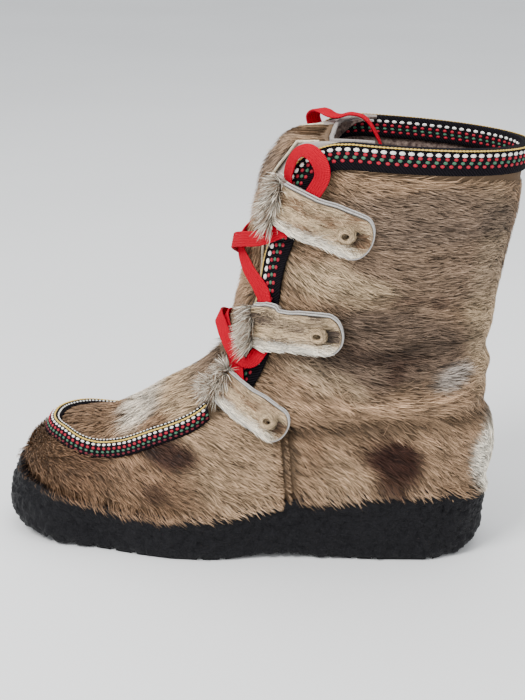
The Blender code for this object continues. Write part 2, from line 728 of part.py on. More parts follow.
def ribbon(name, centres, outwards, width, thick, finish, cuts=(None, None), bank=0):
    """A flat band along a line of centres, with its faces looking along outwards.

    A cut is the way that an end is cut across, where that isn't square to the band. In its bends the
    band leans out by bank over their radius.
    """
    centres, outwards = np.array(centres), np.array(outwards)
    ahead = np.gradient(centres, axis=0)
    run = np.linalg.norm(ahead, axis=1)[:, None]
    ahead /= run
    from_end = np.minimum(np.arange(len(run)), np.arange(len(run))[::-1])[:, None]
    outwards = outwards / np.linalg.norm(outwards, axis=1)[:, None]
    outwards -= bank * np.gradient(ahead, axis=0) / run * np.clip(from_end / LEAN_STEPS, 0, 1)
    across = np.cross(ahead, outwards)
    across /= np.linalg.norm(across, axis=1)[:, None]
    face = np.cross(across, ahead)
    for cut, order in ((cuts[0], range(CUT_STEPS)), (cuts[1], range(-1, -CUT_STEPS - 1, -1))):
        if cut is None:
            continue
        end = order[0]
        slant = (cut @ ahead[end]) / (cut @ across[end])
        for step, i in enumerate(order):
            across[i] += ahead[i] * slant * (1 - step / CUT_STEPS)
    face /= np.linalg.norm(face, axis=1)[:, None]
    edges = [centres + across * width / 2 * k for k in (-1, 1)]
    outer = np.stack([e + face * thick / 2 for e in edges], 1)
    inner = np.stack([e - face * thick / 2 for e in edges], 1)
    return sheet(name, [(outer, inner, False)], finish)


def curve_through(points, count):
    """A smooth curve through points chosen by hand, as Catmull-Rom pieces."""
    p = np.array(points, float)
    p = np.vstack([2 * p[0] - p[1], p, 2 * p[-1] - p[-2]])
    found = []
    for t in np.linspace(0, len(points) - 1 - 1e-9, count):
        i, f = int(t), t - int(t)
        a, b, c, d = p[i:i + 4]
        found.append(
            0.5 * (2 * b + (c - a) * f + (2 * a - 5 * b + 4 * c - d) * f**2 + (3 * b - a - 3 * c + d) * f**3)
        )
    return np.array(found)


# Where the lace leaves each tab at its lower and at its upper edge: share of the tab's length from its
# rear, and gap to the edge
MOUTHS = {
    "low": ((.85, .0014), (.89, .0014)),
    "mid": ((.89, .0014), (.86, .0014)),
    "top": ((.87, .0014), (.70, .0007)),
}
CUT_STEPS = 4
LEAN_STEPS = 2
LACE_BANK = 0.0080
# Lace runs over the tongue, between a tab on one side and the tab below on the other: place, girth
# share short of the front centre (minus on the far side), height over the last
UPPER_RUN = (
    (14.45, .150, .0056), (13.95, .075, .0050), (13.4, 0, .0042), (13.05, -.080, .0046),
    (12.8, -.140, .0056),
)
LOWER_RUN = (
    (8.3, .248, .0066), (8.0, .210, .0072), (7.95, .150, .0066), (8.05, .070, .0048),
    (8.0, 0, .0042), (7.9, -.080, .0050), (7.8, -.145, .0062), (7.6, -.190, .0062),
)
EDGE_STEP = 0.04
CROSSING_ROWS = 25
OVER_LIFT = 0.0024
UNDER_SINK = 0.0016


def lace_at_tab(line, name, upper, side):
    """The point where the lace leaves a tab's upper or lower edge, the outward way and the edge's way."""
    edge = -side if upper else side
    along_share, gap = MOUTHS[name][upper]
    across = edge * (1 + 2 * gap / line[4])
    spots = [under_tab(line, along_share + d, across, side) for d in (-EDGE_STEP, 0, EDGE_STEP)]
    rear, here, fore = [skin(*s, side, LACE_LEVEL) for s in spots]
    return here, outward(*spots[1], side), fore - rear


def build_crossing(name, run, above, below, lines, finish):
    """Two lace runs that cross over the tongue. The one from the outer tab above lies on top."""
    for side, label, lift in ((1, "over", OVER_LIFT), (-1, "under", -UNDER_SINK)):
        middle = []
        for place, short, high in run:
            on = side if short >= 0 else -side
            share = 1 - abs(short)
            middle.append((skin(place, share, on, high + lift), outward(place, share, on)))
        start = lace_at_tab(lines[side, above], above, False, side)
        end = lace_at_tab(lines[-side, below], below, True, -side)
        route = [start[:2]] + middle + [end[:2]]
        centres = curve_through([p for p, _ in route], CROSSING_ROWS)
        ways = curve_through([w for _, w in route], CROSSING_ROWS)
        cuts = (start[2], end[2])
        ribbon(f"{name}_{label}", centres, ways, LACE_WIDTH, LACE_THICK, finish, cuts, LACE_BANK)


# Free ends of the lace past the tab's edge: points chosen by hand, in metres, and the way that the
# flat side looks at each
OUTER_END = (
    (.0515, .0432, .2400), (.0500, .0368, .2520), (.0455, .0278, .2580), (.0400, .0188, .2560),
    (.0365, .0138, .2480), (.0345, .0128, .2390), (.0325, .0138, .2310),
)
OUTER_END_LOOKS = (
    (1, -.1, .3), (.8, -.3, .8), (.5, -.6, .9), (.5, -1, .4), (.6, -1, 0), (.6, -1, 0), (.6, -1, 0),
)
INNER_END = (
    (-.0520, .0330, .2430), (-.0495, .0300, .2540),
    (-.0440, .0330, .2590), (-.0385, .0375, .2592), (-.0335, .0420, .2577), (-.0305, .0470, .2575),
    (-.0290, .0541, .2592), (-.0265, .0630, .2565), (-.0245, .0705, .2450), (-.0235, .0735, .2345),
    (-.0230, .0745, .2255),
)
INNER_END_LOOKS = (
    (-1, -.2, .1), (-1, -.3, .6), (-.5, -.4, 1), (-.1, -.2, 1), (0, -.1, 1),
    (0, -.2, 1), (0, .1, 1), (0, .7, 1), (0, 1, .4), (0, 1, .1), (0, 1, 0),
)


def build_lace_end(name, line, side, points, looks, finish):
    """One free end of the flat lace, from the top tab's upper edge on."""
    start, look, edge = lace_at_tab(line, "top", True, side)
    centres = curve_through([start] + list(points), 28)
    ways = curve_through([look] + list(looks), 28)
    return ribbon(name, centres, ways, LACE_WIDTH, LACE_THICK, finish, (edge, None))


for thing in list(bpy.data.objects):
    bpy.data.objects.remove(thing)

fur = material("fur", (0.30, 0.22, 0.15), 0.7)
pale_fur = material("pale_fur", (0.52, 0.44, 0.32), 0.7)
rubber = material("rubber", (0.02, 0.02, 0.022), 0.75)
braid = material("braid", (0.06, 0.03, 0.035), 0.8)
felt = material("felt", (0.45, 0.41, 0.38), 0.9)
lace = material("lace", (0.55, 0.01, 0.03), 0.7)
knob = material("knob", (0.38, 0.33, 0.26), 0.6)

build_sole(rubber)
build_upper(fur)
build_insole(felt)
build_tongue(fur)
build_vamp_braid(braid)
build_edge_braid(braid)
lines = {}
for side_name, side in (("outer", 1), ("inner", -1)):
    for tab in TABS:
        label = f"{side_name}_{tab[0]}"
        lines[side, tab[0]], rear_top = build_tab(f"tab_{label}", tab, side, pale_fur)
        build_knob(f"knob_{label}", lines[side, tab[0]], rear_top, knob)
build_crossing("lace_upper", UPPER_RUN, "top", "mid", lines, lace)
build_crossing("lace_lower", LOWER_RUN, "mid", "low", lines, lace)
build_lace_end("lace_end_outer", lines[1, "top"], 1, OUTER_END, OUTER_END_LOOKS, lace)
build_lace_end("lace_end_inner", lines[-1, "top"], -1, INNER_END, INNER_END_LOOKS, lace)
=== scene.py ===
"""The looks of a left winter boot of short fur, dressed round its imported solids, in metres."""
import bmesh
import bpy
import numpy as np
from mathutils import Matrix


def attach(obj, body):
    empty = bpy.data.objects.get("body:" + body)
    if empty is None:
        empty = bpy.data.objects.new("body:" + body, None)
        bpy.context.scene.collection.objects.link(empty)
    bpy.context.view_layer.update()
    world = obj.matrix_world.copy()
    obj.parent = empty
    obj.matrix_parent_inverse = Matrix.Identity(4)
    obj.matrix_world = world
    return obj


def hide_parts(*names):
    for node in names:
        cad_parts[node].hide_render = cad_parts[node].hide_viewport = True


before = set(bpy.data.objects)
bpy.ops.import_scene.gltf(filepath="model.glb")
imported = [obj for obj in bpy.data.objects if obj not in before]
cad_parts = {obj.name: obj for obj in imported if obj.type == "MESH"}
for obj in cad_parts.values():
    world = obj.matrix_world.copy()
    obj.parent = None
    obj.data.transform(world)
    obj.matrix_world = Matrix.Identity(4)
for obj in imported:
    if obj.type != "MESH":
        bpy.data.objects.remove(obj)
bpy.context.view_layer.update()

# Camera, floor and light
# The boot stands on a pale table. Soft light comes from the camera's side and above, a little from
# the toe.
CAMERA_PLACE = (0.8160, 0.0747, 0.3962)
CAMERA_AZIMUTH = 95.0
CAMERA_TILT = 18.7
CAMERA_LENS = 72.8
CAMERA_SENSOR = 36.0
FLOOR_SIZE = 14.0
FLOOR_DROP = 0.0004
LIGHT_COLUMNS = ("name", "place", "aim", "size", "power")
LIGHTS = (
    ("key", (0.95, -0.75, 1.50), (0, 0, 0.12), 0.70, 34.0),
    ("fill", (1.30, 0.95, 0.80), (0, 0, 0.10), 1.40, 8.0),
    ("top", (-0.25, 0.10, 1.90), (0, 0, 0.10), 1.60, 20.0),
)
SKY_COLOUR = (0.93, 0.96, 1.0)
SKY_STRENGTH = 0.97

camera = bpy.data.objects.new("camera", bpy.data.cameras.new("camera"))
camera.data.sensor_width = CAMERA_SENSOR
camera.data.lens = CAMERA_LENS
camera.location = CAMERA_PLACE
camera.rotation_euler = (np.radians(90 - CAMERA_TILT), 0, np.radians(CAMERA_AZIMUTH))
bpy.context.scene.collection.objects.link(camera)
bpy.context.scene.camera = camera

for row in LIGHTS:
    lamp = dict(zip(LIGHT_COLUMNS, row))
    data = bpy.data.lights.new(lamp["name"], "AREA")
    data.size = lamp["size"]
    data.energy = lamp["power"]
    light = bpy.data.objects.new(lamp["name"], data)
    light.location = lamp["place"]
    way = np.array(lamp["place"]) - lamp["aim"]
    light.rotation_euler = (np.arccos(way[2] / np.linalg.norm(way)), 0, np.arctan2(way[0], -way[1]))
    bpy.context.scene.collection.objects.link(light)

sky = bpy.data.worlds.new("sky")
sky.use_nodes = True
sky.node_tree.nodes["Background"].inputs["Color"].default_value = (*SKY_COLOUR, 1)
sky.node_tree.nodes["Background"].inputs["Strength"].default_value = SKY_STRENGTH
bpy.context.scene.world = sky


def paint(red, green, blue):
    """A colour given in the 0 to 255 values of a screen, as linear values."""
    share = np.array((red, green, blue)) / 255
    return np.where(share > 0.04045, ((share + 0.055) / 1.055) ** 2.4, share / 12.92)


class Value:
    """An output of a shader's nodes. + and * of it add Math nodes."""

    def __init__(self, tree, socket):
        self.tree, self.socket = tree, socket

    def math(self, operation, other):
        """A Math node of this value and another."""
        node = self.tree.nodes.new("ShaderNodeMath")
        node.operation = operation
        for socket, value in zip(node.inputs, (self, other)):
            feed(self.tree, socket, value)
        return Value(self.tree, node.outputs[0])

    def __add__(self, other):
        return self.math("ADD", other)

    def __mul__(self, other):
        return self.math("MULTIPLY", other)


def feed(tree, socket, value):
    """Gives a socket a link, a number or a colour."""
    if isinstance(value, Value):
        tree.links.new(value.socket, socket)
    elif socket.type == "RGBA":
        socket.default_value = (*value[:3], 1)
    else:
        socket.default_value = value


class Finish:
    """One material. Its constants are set on the shader's own sockets, and node() adds any node."""

    def __init__(self, name, **constants):
        self.material = bpy.data.materials.new(name)
        self.material.use_nodes = True
        self.tree = self.material.node_tree
        self.shader = self.tree.nodes["Principled BSDF"]
        for key, value in constants.items():
            self.wire(key.replace("_", " ").title(), value)

    def wire(self, name, value):
        """Feeds one of the shader's own sockets."""
        names = {"Ior": "IOR", "Specular Ior Level": "Specular IOR Level"}
        feed(self.tree, self.shader.inputs[names.get(name, name)], value)

    def node(self, kind, settings=(), output=0, **inputs):
        """Adds a node, sets its settings, feeds its inputs and gives one output."""
        node = self.tree.nodes.new("ShaderNode" + kind)
        for key, value in dict(settings).items():
            setattr(node, key, value)
        for key, value in inputs.items():
            feed(self.tree, node.inputs[int(key[1:])], value)
        return Value(self.tree, node.outputs[output])

    def noise(self, scale, detail=2.0, roughness=0.5):
        """A cloud of numbers round one half, with so many clouds to a metre."""
        return self.node("TexNoise", i0=self.node("TexCoord", output=3), i2=scale, i3=detail, i4=roughness)

    def blend(self, share, low, high):
        """A colour from low to high."""
        return self.node("Mix", {"data_type": "RGBA"}, 2, i0=share, i6=low, i7=high)

    def attribute(self, name):
        """A colour that the mesh carries at its points."""
        return self.node("Attribute", {"attribute_name": name})

    def stretch(self, value, low, high):
        """A value spread from low and high to 0 and 1, and held between them."""
        return self.node("MapRange", i0=value, i1=low, i2=high)

    def relief(self, height, depth):
        """Raises the surface's shading by height times depth, in metres."""
        node = self.tree.nodes.new("ShaderNodeBump")
        node.inputs["Distance"].default_value = depth
        feed(self.tree, node.inputs["Height"], height)
        self.wire("Normal", Value(self.tree, node.outputs[0]))


def mottled(name, noise, span, dark, light, bumps=None, **constants):
    """A finish from dark to light along a noise, with the noise and the depth of its relief in bumps."""
    made = Finish(name, **constants)
    made.wire("Base Color", made.blend(made.stretch(made.noise(*noise), *span), paint(*dark), paint(*light)))
    if bumps:
        made.relief(made.noise(*bumps[:-1]), bumps[-1])
    return made


table_top = mottled(
    "table_top", (1.5, 3), (0.35, 0.65), (238, 238, 237), (243, 243, 242),
    roughness=0.55, specular_ior_level=0.3)
floor_mesh = bpy.data.meshes.new("floor")
half = FLOOR_SIZE / 2
floor_mesh.from_pydata(
    [(x * half, y * half, -FLOOR_DROP) for x, y in ((-1, -1), (1, -1), (1, 1), (-1, 1))], [], [(0, 1, 2, 3)])
floor_mesh.materials.append(table_top.material)
floor = bpy.data.objects.new("floor", floor_mesh)
bpy.context.scene.collection.objects.link(floor)

# Hide
# The fur shell of the boot: one hide from the toe round the heel and up to the collar, with a front
# panel sewn in by the raised seam. Everything else is laid on the same surface, the last.
SOLE_LENGTH = 0.297
BALL_WIDTH = 0.104
TOE_REACH = 0.049
TOE_HEIGHT = 0.073
FRONT_HEIGHT = 0.257
BACK_HEIGHT = 0.248
SEAT_BALL = 0.014
SEAT_HEEL = 0.030
TOE_SPRING = 0.007
SIDE_BALL = 0.0275
SIDE_HEEL = 0.046
TOE_GUARD = 0.045
WALL = 0.0028
TOE_ROUND = 2.15
TOE_STATION = 2
CORNER = 0.17

# A row for each section of the last, in shares of the sizes above
COLUMNS = (
    "low_y", "spring", "bed", "leg", "top_y", "top", "half", "shift",
    "base", "widest", "upper", "lower", "edge", "guard", "rise",
)
STATIONS = (
    (-.331, 1.0, 0, 0, -.331, 0, .385, -.048, .94, .44, 2.2, 2.4, .660, 1.0, 0),
    (-.331, .43, 0, 0, -.331, 0, .385, -.048, .95, .43, 2.35, 2.4, .655, .50, 0),
    (-.331, .14, 0, 0, -.331, 0, .385, -.048, .95, .42, 2.5, 2.4, .593, .14, 0),
    (-.260, 0, 0, 0, -.267, .043, .418, -.034, .95, .38, 2.35, 2.4, .577, .03, 0),
    (-.179, 0, 0, 0, -.196, .120, .447, -.005, .95, .34, 2.15, 2.4, .600, 0, 0),
    (-.078, 0, .06, 0, -.129, .190, .428, .019, .94, .31, 1.95, 2.4, .643, 0, .07),
    (.023, 0, .25, 0, -.092, .239, .370, .024, .93, .31, 1.85, 2.4, .725, 0, .36),
    (.124, 0, .50, 0, -.068, .299, .346, .019, .92, .33, 1.85, 2.4, .768, 0, .58),
    (.225, 0, .75, 0, -.056, .364, .341, .014, .92, .36, 1.9, 2.4, .795, 0, .80),
    (.319, 0, .88, 0, -.048, .424, .346, .010, .90, .40, 1.95, 2.4, .815, 0, .96),
    (.382, 0, .94, 0, -.044, .457, .351, .007, .84, .43, 2.0, 2.6, .840, 0, 1.0),
    (.425, 0, .97, 0, -.039, .489, .356, .005, .60, .46, 2.0, 2.9, .860, 0, .95),
    (.442, 0, 1.0, 0, -.036, .522, .361, .004, 0, .47, 2.0, 3.0, .866, 0, .82),
    (.488, 0, 1.0, .165, -.029, .582, .370, .002, 0, .48, 2.0, 2.6, .862, 0, .62),
    (.461, 0, 1.0, .376, -.019, .668, .389, 0, 0, .49, 2.0, 2.3, .840, 0, .62),
    (.474, 0, 1.0, .555, -.009, .766, .418, 0, 0, .50, 2.05, 2.1, .808, 0, .62),
    (.498, 0, 1.0, .780, .003, .859, .457, -.004, 0, .52, 2.1, 2.1, .787, 0, .62),
    (.525, 0, 1.0, 1.0, .023, 1.0, .495, -.007, 0, .54, 2.1, 2.1, .787, 0, .62),
)
LAST_PLACE = len(STATIONS) - 1
HEEL_PLACE = 12
PLUG_END = 6.2
PLACE_STEP = 0.025
SHARE_STEP = 1 / 160
ARC_POINTS = 90
TOE_ROWS = round(TOE_STATION / PLACE_STEP) + 1
TABLE = {name: np.array([row[i] for row in STATIONS]) for i, name in enumerate(COLUMNS)}


def smooth(values, place, first=0):
    """A monotone cubic through values at whole places, from the place called first onwards.

    Between two places the curve is the cubic with the given ends and slopes, and the slope at a
    place is the harmonic mean of the steps on its two sides, or none where they disagree.
    """
    v = values[first:]
    step = np.diff(v)
    slope = np.zeros(len(v))
    both = step[:-1] * step[1:] > 0
    slope[1:-1][both] = 2 * (step[:-1] * step[1:])[both] / (step[:-1] + step[1:])[both]
    slope[0] = 1.5 * step[0] - 0.5 * slope[1]
    slope[-1] = 1.5 * step[-1] - 0.5 * slope[-2]
    x = np.maximum(np.asarray(place, float) - first, 0)
    i = np.minimum(x.astype(int), len(v) - 2)
    f = x - i
    start = (1 + 2 * f) * (1 - f) ** 2 * v[i] + f * (1 - f) ** 2 * slope[i]
    return start + f * f * (3 - 2 * f) * v[i + 1] + f * f * (f - 1) * slope[i + 1]


def column(name, place):
    """One column of the stations, read at any places."""
    return smooth(TABLE[name], place, TOE_STATION if name in ("low_y", "top_y") else 0)


def seat_height(place):
    """Height of the footbed's edge under a place."""
    rise = column("bed", place) * (SEAT_HEEL - SEAT_BALL)
    return SEAT_BALL + column("spring", place) * TOE_SPRING + rise


def rim_height(place):
    """Height of the sole's rim beside a place."""
    guard = column("guard", place) * (TOE_GUARD - SIDE_BALL)
    return SIDE_BALL + guard + column("rise", place) * (SIDE_HEEL - SIDE_BALL)


def edge_share(place):
    """Share of the girth at the raised seam and, above it, at the throat's edge, with its round corner."""
    past = np.clip(np.asarray(place, float) - (LAST_PLACE - 1), 0, 1)
    return column("edge", place) - CORNER * (1 - np.sqrt(1 - past * past))


def ramp(value, low, high):
    """Runs smoothly from 0 at low to 1 at high."""
    t = np.clip((value - low) / (high - low), 0, 1)
    return t * t * (3 - 2 * t)


# Each section is half a ring of two superellipse arcs, cut at the footbed. It is worked out at fine
# steps for all places at once and then read at even shares of its own length.
places = np.arange(0, LAST_PLACE + PLACE_STEP / 2, PLACE_STEP)
base, widest = np.maximum(column("base", places), 0)[:, None], column("widest", places)[:, None]
upper, lower = column("upper", places)[:, None], column("lower", places)[:, None]
foot = np.maximum(1 - base**lower, 0) ** (1 / lower)
turn = np.arcsin(np.minimum(foot ** (lower / 2), 1)) * np.linspace(1, 0, ARC_POINTS)
low_out = np.cos(turn) ** (2 / lower)
low_up = widest * (1 - np.sin(turn) ** (2 / lower) / foot)
turn = np.linspace(0, np.pi / 2, ARC_POINTS)[1:]
top_out = np.clip(np.cos(turn), 0, 1) ** (2 / upper)
top_up = widest + (1 - widest) * np.sin(turn) ** (2 / upper)
out = np.hstack([low_out, top_out])
out[:, 0] = base[:, 0]
out[:, -1] = 0
up = np.hstack([low_up, top_up])
angle = np.radians(np.minimum(places, TOE_STATION) * 90 / TOE_STATION)[:, None]
half = column("half", places)[:, None] * BALL_WIDTH
ahead, aside = np.where(places[:, None] < TOE_STATION, np.cos(angle), 0), np.sin(angle)
radius = ((np.cos(angle) / TOE_REACH) ** TOE_ROUND + (aside / half) ** TOE_ROUND) ** (-1 / TOE_ROUND)
radius = np.where(places[:, None] < TOE_STATION, radius, half)
low_y = column("low_y", places)[:, None] * SOLE_LENGTH
low_z = (seat_height(places) + column("leg", places) * (BACK_HEIGHT - SEAT_HEEL))[:, None]
top_y = column("top_y", places)[:, None] * SOLE_LENGTH
top_z = (TOE_HEIGHT + column("top", places) * (FRONT_HEIGHT - TOE_HEIGHT))[:, None]
arcs = np.stack([
    aside * radius * out,
    low_y + (top_y - low_y) * up - ahead * radius * out,
    low_z + (top_z - low_z) * up,
], -1)
run = np.cumsum(np.linalg.norm(np.diff(arcs, axis=1), axis=2), axis=1)
run = np.hstack([np.zeros((len(places), 1)), run])
GIRTH = run[:, -1].copy()
run /= run[:, -1:]
shares = np.linspace(0, 1, round(1 / SHARE_STEP) + 1)
before = np.clip((run[:, None, :] <= shares[None, :, None]).sum(2) - 1, 0, run.shape[1] - 2)
row = np.arange(len(places))[:, None]
part = (shares[None] - run[row, before]) / np.maximum(run[row, before + 1] - run[row, before], 1e-9)
LAST = arcs[row, before] + part[..., None] * (arcs[row, before + 1] - arcs[row, before])
LAST_AHEAD = np.gradient(LAST, PLACE_STEP, axis=0)
LAST_ACROSS = np.gradient(LAST, SHARE_STEP, axis=1)
LAST_NORMAL = np.cross(LAST_AHEAD, LAST_ACROSS)
LAST_NORMAL[:TOE_ROWS, -1] = LAST_NORMAL[:TOE_ROWS, -2]
LAST_NORMAL /= np.maximum(np.linalg.norm(LAST_NORMAL, axis=2, keepdims=True), 1e-12)


def read(grid, place, share):
    """Reads a grid of the last between its four nearest points."""
    a = np.clip(np.asarray(place, float) / PLACE_STEP, 0, len(grid) - 1.001)
    b = np.clip(np.asarray(share, float) / SHARE_STEP, 0, grid.shape[1] - 1.001)
    i, j = a.astype(int), b.astype(int)
    f, g = (a - i)[..., None], (b - j)[..., None]
    near = (1 - g) * grid[i, j] + g * grid[i, j + 1]
    return (1 - f) * near + f * ((1 - g) * grid[i + 1, j] + g * grid[i + 1, j + 1])


def mirrored(vectors, side):
    """Vectors of the outer half, turned to the inner half where side is -1."""
    return vectors * np.stack([side, np.ones_like(side), np.ones_like(side)], -1)


def outward(place, share, side):
    """The last's outward direction."""
    place, share, side = np.broadcast_arrays(*[np.asarray(v, float) for v in (place, share, side)])
    normal = mirrored(read(LAST_NORMAL, place, share), side)
    return normal / np.maximum(np.linalg.norm(normal, axis=-1, keepdims=True), 1e-9)


def skin(place, share, side, height=0.0):
    """Points that stand off the last by a height: the last's point plus height times its outward way."""
    place, share, side = np.broadcast_arrays(*[np.asarray(v, float) for v in (place, share, side)])
    point = mirrored(read(LAST, place, share), side)
    point[..., 0] += column("shift", place) * BALL_WIDTH
    return point + np.asarray(height)[..., None] * outward(place, share, side)


def surface_step(place, share, side, way, steps=1):
    """The change of place and share that makes one of so many steps along a way.

    It is the least squares solution for the two tangents' shares that add up to that part of the way.
    """
    a, b = [mirrored(read(g, place, share), side) for g in (LAST_AHEAD, LAST_ACROSS)]
    aa, ab, bb = (a * a).sum(-1), (a * b).sum(-1), (b * b).sum(-1)
    u, v = (a * way).sum(-1) / steps, (b * way).sum(-1) / steps
    det = np.maximum(aa * bb - ab * ab, 1e-9 * bb.mean() ** 2)
    return (bb * u - ab * v) / det, (aa * v - ab * u) / det


def walk(place, share, side, way, steps=2):
    """Places, shares and sides reached from the first ones along a way over the surface.

    A walk over the toe, the back or the front comes out on the other side.
    """
    place, share, side = [np.array(v, float) for v in np.broadcast_arrays(place, share, side)]
    for _ in range(steps):
        further, higher = surface_step(place, share, side, way, steps)
        place += np.clip(further, -1, 1)
        share += np.clip(higher, -0.3, 0.3)
        over = place < 0
        place, side = np.abs(place), np.where(over, -side, side)
        over = ((share < 0) & (place > HEEL_PLACE)) | (share > 1)
        share = np.where(share > 1, 2 - share, np.where(over, -share, share))
        side = np.where(over, -side, side)
        place, share = np.clip(place, 0, LAST_PLACE), np.clip(share, 0, 1)
    return place, share, side


# Blocks of random numbers for cloud(), and a shift that keeps places in them above zero
CLOUD_SIDE = 32
CLOUD_SHIFT = 100
CLOUDS = [np.random.default_rng(seed).random((CLOUD_SIDE,) * 3) for seed in range(6)]


def cloud(points, size, which=0):
    """Smooth noise from -1 to 1 with clouds of a size: random numbers on a lattice, eased between."""
    at = np.asarray(points) / size + CLOUD_SHIFT
    i = np.floor(at).astype(int)
    f = at - i
    f = f * f * (3 - 2 * f)
    total = np.zeros(at.shape[:-1])
    for corner in np.ndindex(2, 2, 2):
        share = np.ones(at.shape[:-1])
        for axis in range(3):
            share = share * (f[..., axis] if corner[axis] else 1 - f[..., axis])
        spot = (i + corner) % CLOUD_SIDE
        total += share * CLOUDS[which][spot[..., 0], spot[..., 1], spot[..., 2]]
    return total * 2 - 1


def grid_faces(rows, columns, start=0, flip=False):
    """Corner numbers of the quads of a grid of points."""
    i, j = np.meshgrid(np.arange(rows - 1), np.arange(columns - 1), indexing="ij")
    a = (start + i * columns + j).ravel()
    quads = np.stack([a, a + columns, a + columns + 1, a + 1], 1)
    return quads[:, ::-1] if flip else quads


def ring_faces(rows, count, flip=False):
    """Corner numbers of the quads of a grid whose rows are closed rings."""
    k = np.arange(count)
    i = (np.arange(rows - 1) * count)[:, None]
    on = (k + 1) % count
    quads = np.stack(np.broadcast_arrays(i + k, i + on, i + count + on, i + count + k), -1).reshape(-1, 4)
    return quads[:, ::-1] if flip else quads


def put(name, points, faces, finish, tint=None, uv=None, merge=0.0):
    """One finished piece from points and arrays of faces, with a colour or a UV place at each point."""
    mesh = bpy.data.meshes.new(name)
    points = np.asarray(points, float).reshape(-1, 3)
    faces = [np.asarray(f) for f in (faces if isinstance(faces, list) else [faces])]
    corners = np.concatenate([f.ravel() for f in faces]).astype(np.int32)
    sizes = np.concatenate([np.full(len(f), f.shape[1]) for f in faces])
    mesh.vertices.add(len(points))
    mesh.vertices.foreach_set("co", points.ravel())
    mesh.loops.add(len(corners))
    mesh.loops.foreach_set("vertex_index", corners)
    mesh.polygons.add(len(sizes))
    mesh.polygons.foreach_set("loop_start", np.append(0, np.cumsum(sizes)[:-1]).astype(np.int32))
    mesh.update(calc_edges=True)
    mesh.validate()
    if tint is not None:
        layer = mesh.color_attributes.new("tint", "FLOAT_COLOR", "POINT")
        layer.data.foreach_set("color", np.c_[np.asarray(tint).reshape(-1, 3), np.ones(len(points))].ravel())
    if uv is not None:
        layer = mesh.uv_layers.new(name="lay")
        layer.data.foreach_set("uv", np.asarray(uv, float).reshape(-1, 2)[corners].ravel())
    if merge:
        shape = bmesh.new()
        shape.from_mesh(mesh)
        bmesh.ops.remove_doubles(shape, verts=shape.verts, dist=merge)
        bmesh.ops.dissolve_degenerate(shape, edges=shape.edges, dist=merge / 10)
        shape.to_mesh(mesh)
        shape.free()
    mesh.shade_smooth()
    for made in finish if isinstance(finish, (list, tuple)) else [finish]:
        mesh.materials.append(made.material)
    thing = bpy.data.objects.new(name, mesh)
    bpy.context.scene.collection.objects.link(thing)
    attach(thing, "root")
    return thing


# Pelt colours, and the patches of the coat: place and half size along y and z in millimetres, tilt in
# degrees, colour and strength. Later rows lie over earlier ones.
PELT = {
    "umber": paint(50, 31, 24), "bistre": paint(86, 61, 44), "brown": paint(113, 86, 64),
    "tan": paint(140, 114, 89), "straw": paint(182, 159, 127), "cream": paint(232, 225, 208),
    "ash": paint(158, 150, 141), "taupe": paint(104, 88, 75), "slate": paint(82, 69, 60),
}
PATCH_COLUMNS = ("y", "z", "long", "high", "tilt", "colour", "strength")
FRONT_PATCHES = (
    (-125, 55, 34, 40, 0, "bistre", .7),
    (-122, 70, 14, 8, 0, "brown", .5),
    (-80, 50, 44, 40, 0, "brown", .7),
    (-8, 62, 34, 36, 10, "straw", .22),
    (25, 60, 16, 34, 0, "brown", .35),
    (-95, 66, 20, 8, 20, "bistre", .5),
)
BACK_PATCHES = (
    (144, 62, 16, 28, 0, "cream", .9),
    (134, 165, 15, 60, 0, "straw", .7),
    (70, 135, 62, 28, 0, "slate", .8),
    (100, 185, 60, 30, 0, "taupe", .65),
    (48, 174, 30, 13, -14, "straw", .75),
    (90, 215, 62, 17, 0, "taupe", .8),
    (96, 236, 50, 7, 0, "tan", .5),
    (135, 208, 14, 10, 0, "slate", .6),
)
PATCHES = FRONT_PATCHES + BACK_PATCHES + (
    (50, 50, 22, 22, 0, "straw", .15),
    (-50, 68, 19, 10, -8, "umber", .95),
    (-61, 43, 9, 7, 30, "umber", .65),
    (112, 116, 14, 8, 25, "ash", .75),
    (68, 165, 30, 4, -4, "umber", .5),
    (103, 161, 6, 4, 0, "umber", .6),
    # Painted shadow under the middle tab
    (66, 131, 34, 6, -6, "umber", .45),
    (80, 121, 7, 9, 0, "umber", .6),
    (40, 116, 26, 8, -20, "straw", .35),
    (70, 92, 50, 8, 3, "tan", .5),
    (79, 69, 21, 13, -6, "umber", 1.0),
    (84, 60, 14, 13, 20, "umber", .9),
)
INNER_PATCHES = FRONT_PATCHES + BACK_PATCHES + (
    (-20, 50, 16, 9, 15, "umber", .75),
    (52, 62, 12, 10, 10, "umber", .8),
    (100, 66, 22, 12, 0, "straw", .5),
    (96, 142, 18, 10, -12, "umber", .6),
    (60, 108, 26, 8, -10, "ash", .6),
    (108, 200, 14, 9, 0, "umber", .5),
)
# Lines of painted light and shade on the coat, and its side seams: points as y and z in millimetres, half
# width and how much lighter or darker it is
SIDE_SEAMS = (((16, 84), (18, 66), (20, 36)), ((20.5, 84), (22.5, 66), (24.5, 36)))
PAINTED_LIGHT_AND_SEAM_LINES = (
    # Painted highlight along the ankle ridge
    (((18, 99), (58, 101), (95, 101), (119, 107)), 1.5, .8),
    # Painted shadow in the crease under the ridge
    (((14, 82), (45, 83), (70, 86), (100, 89), (125, 91), (145, 92)), 3.6, -.58),
    # Darker along the side seams: the seam's own dark line, and painted shade in its groove
    (SIDE_SEAMS[0], 1.4, -.65),
    (SIDE_SEAMS[1], 1.2, -.65),
    # Painted shadow under the middle tab
    (((35, 128), (70, 130), (100, 137), (125, 140)), 4.0, -.5),
)
PLUG_PATCHES = (
    (-110, 78, 30, 20, 0, "brown", .6),
    (-66, 88, 7, 19, -50, "cream", .55),
    (-48, 81, 14, 10, 0, "brown", .7),
    (-38, 100, 18, 16, 0, "straw", .55),
    (-24, 112, 16, 14, 0, "taupe", .6),
)
TONGUE_PATCHES = (
    (0, 200, 16, 40, 0, "tan", .6),
    (10, 240, 30, 16, 0, "taupe", .7),
    (-14, 140, 20, 26, 0, "taupe", .5),
)


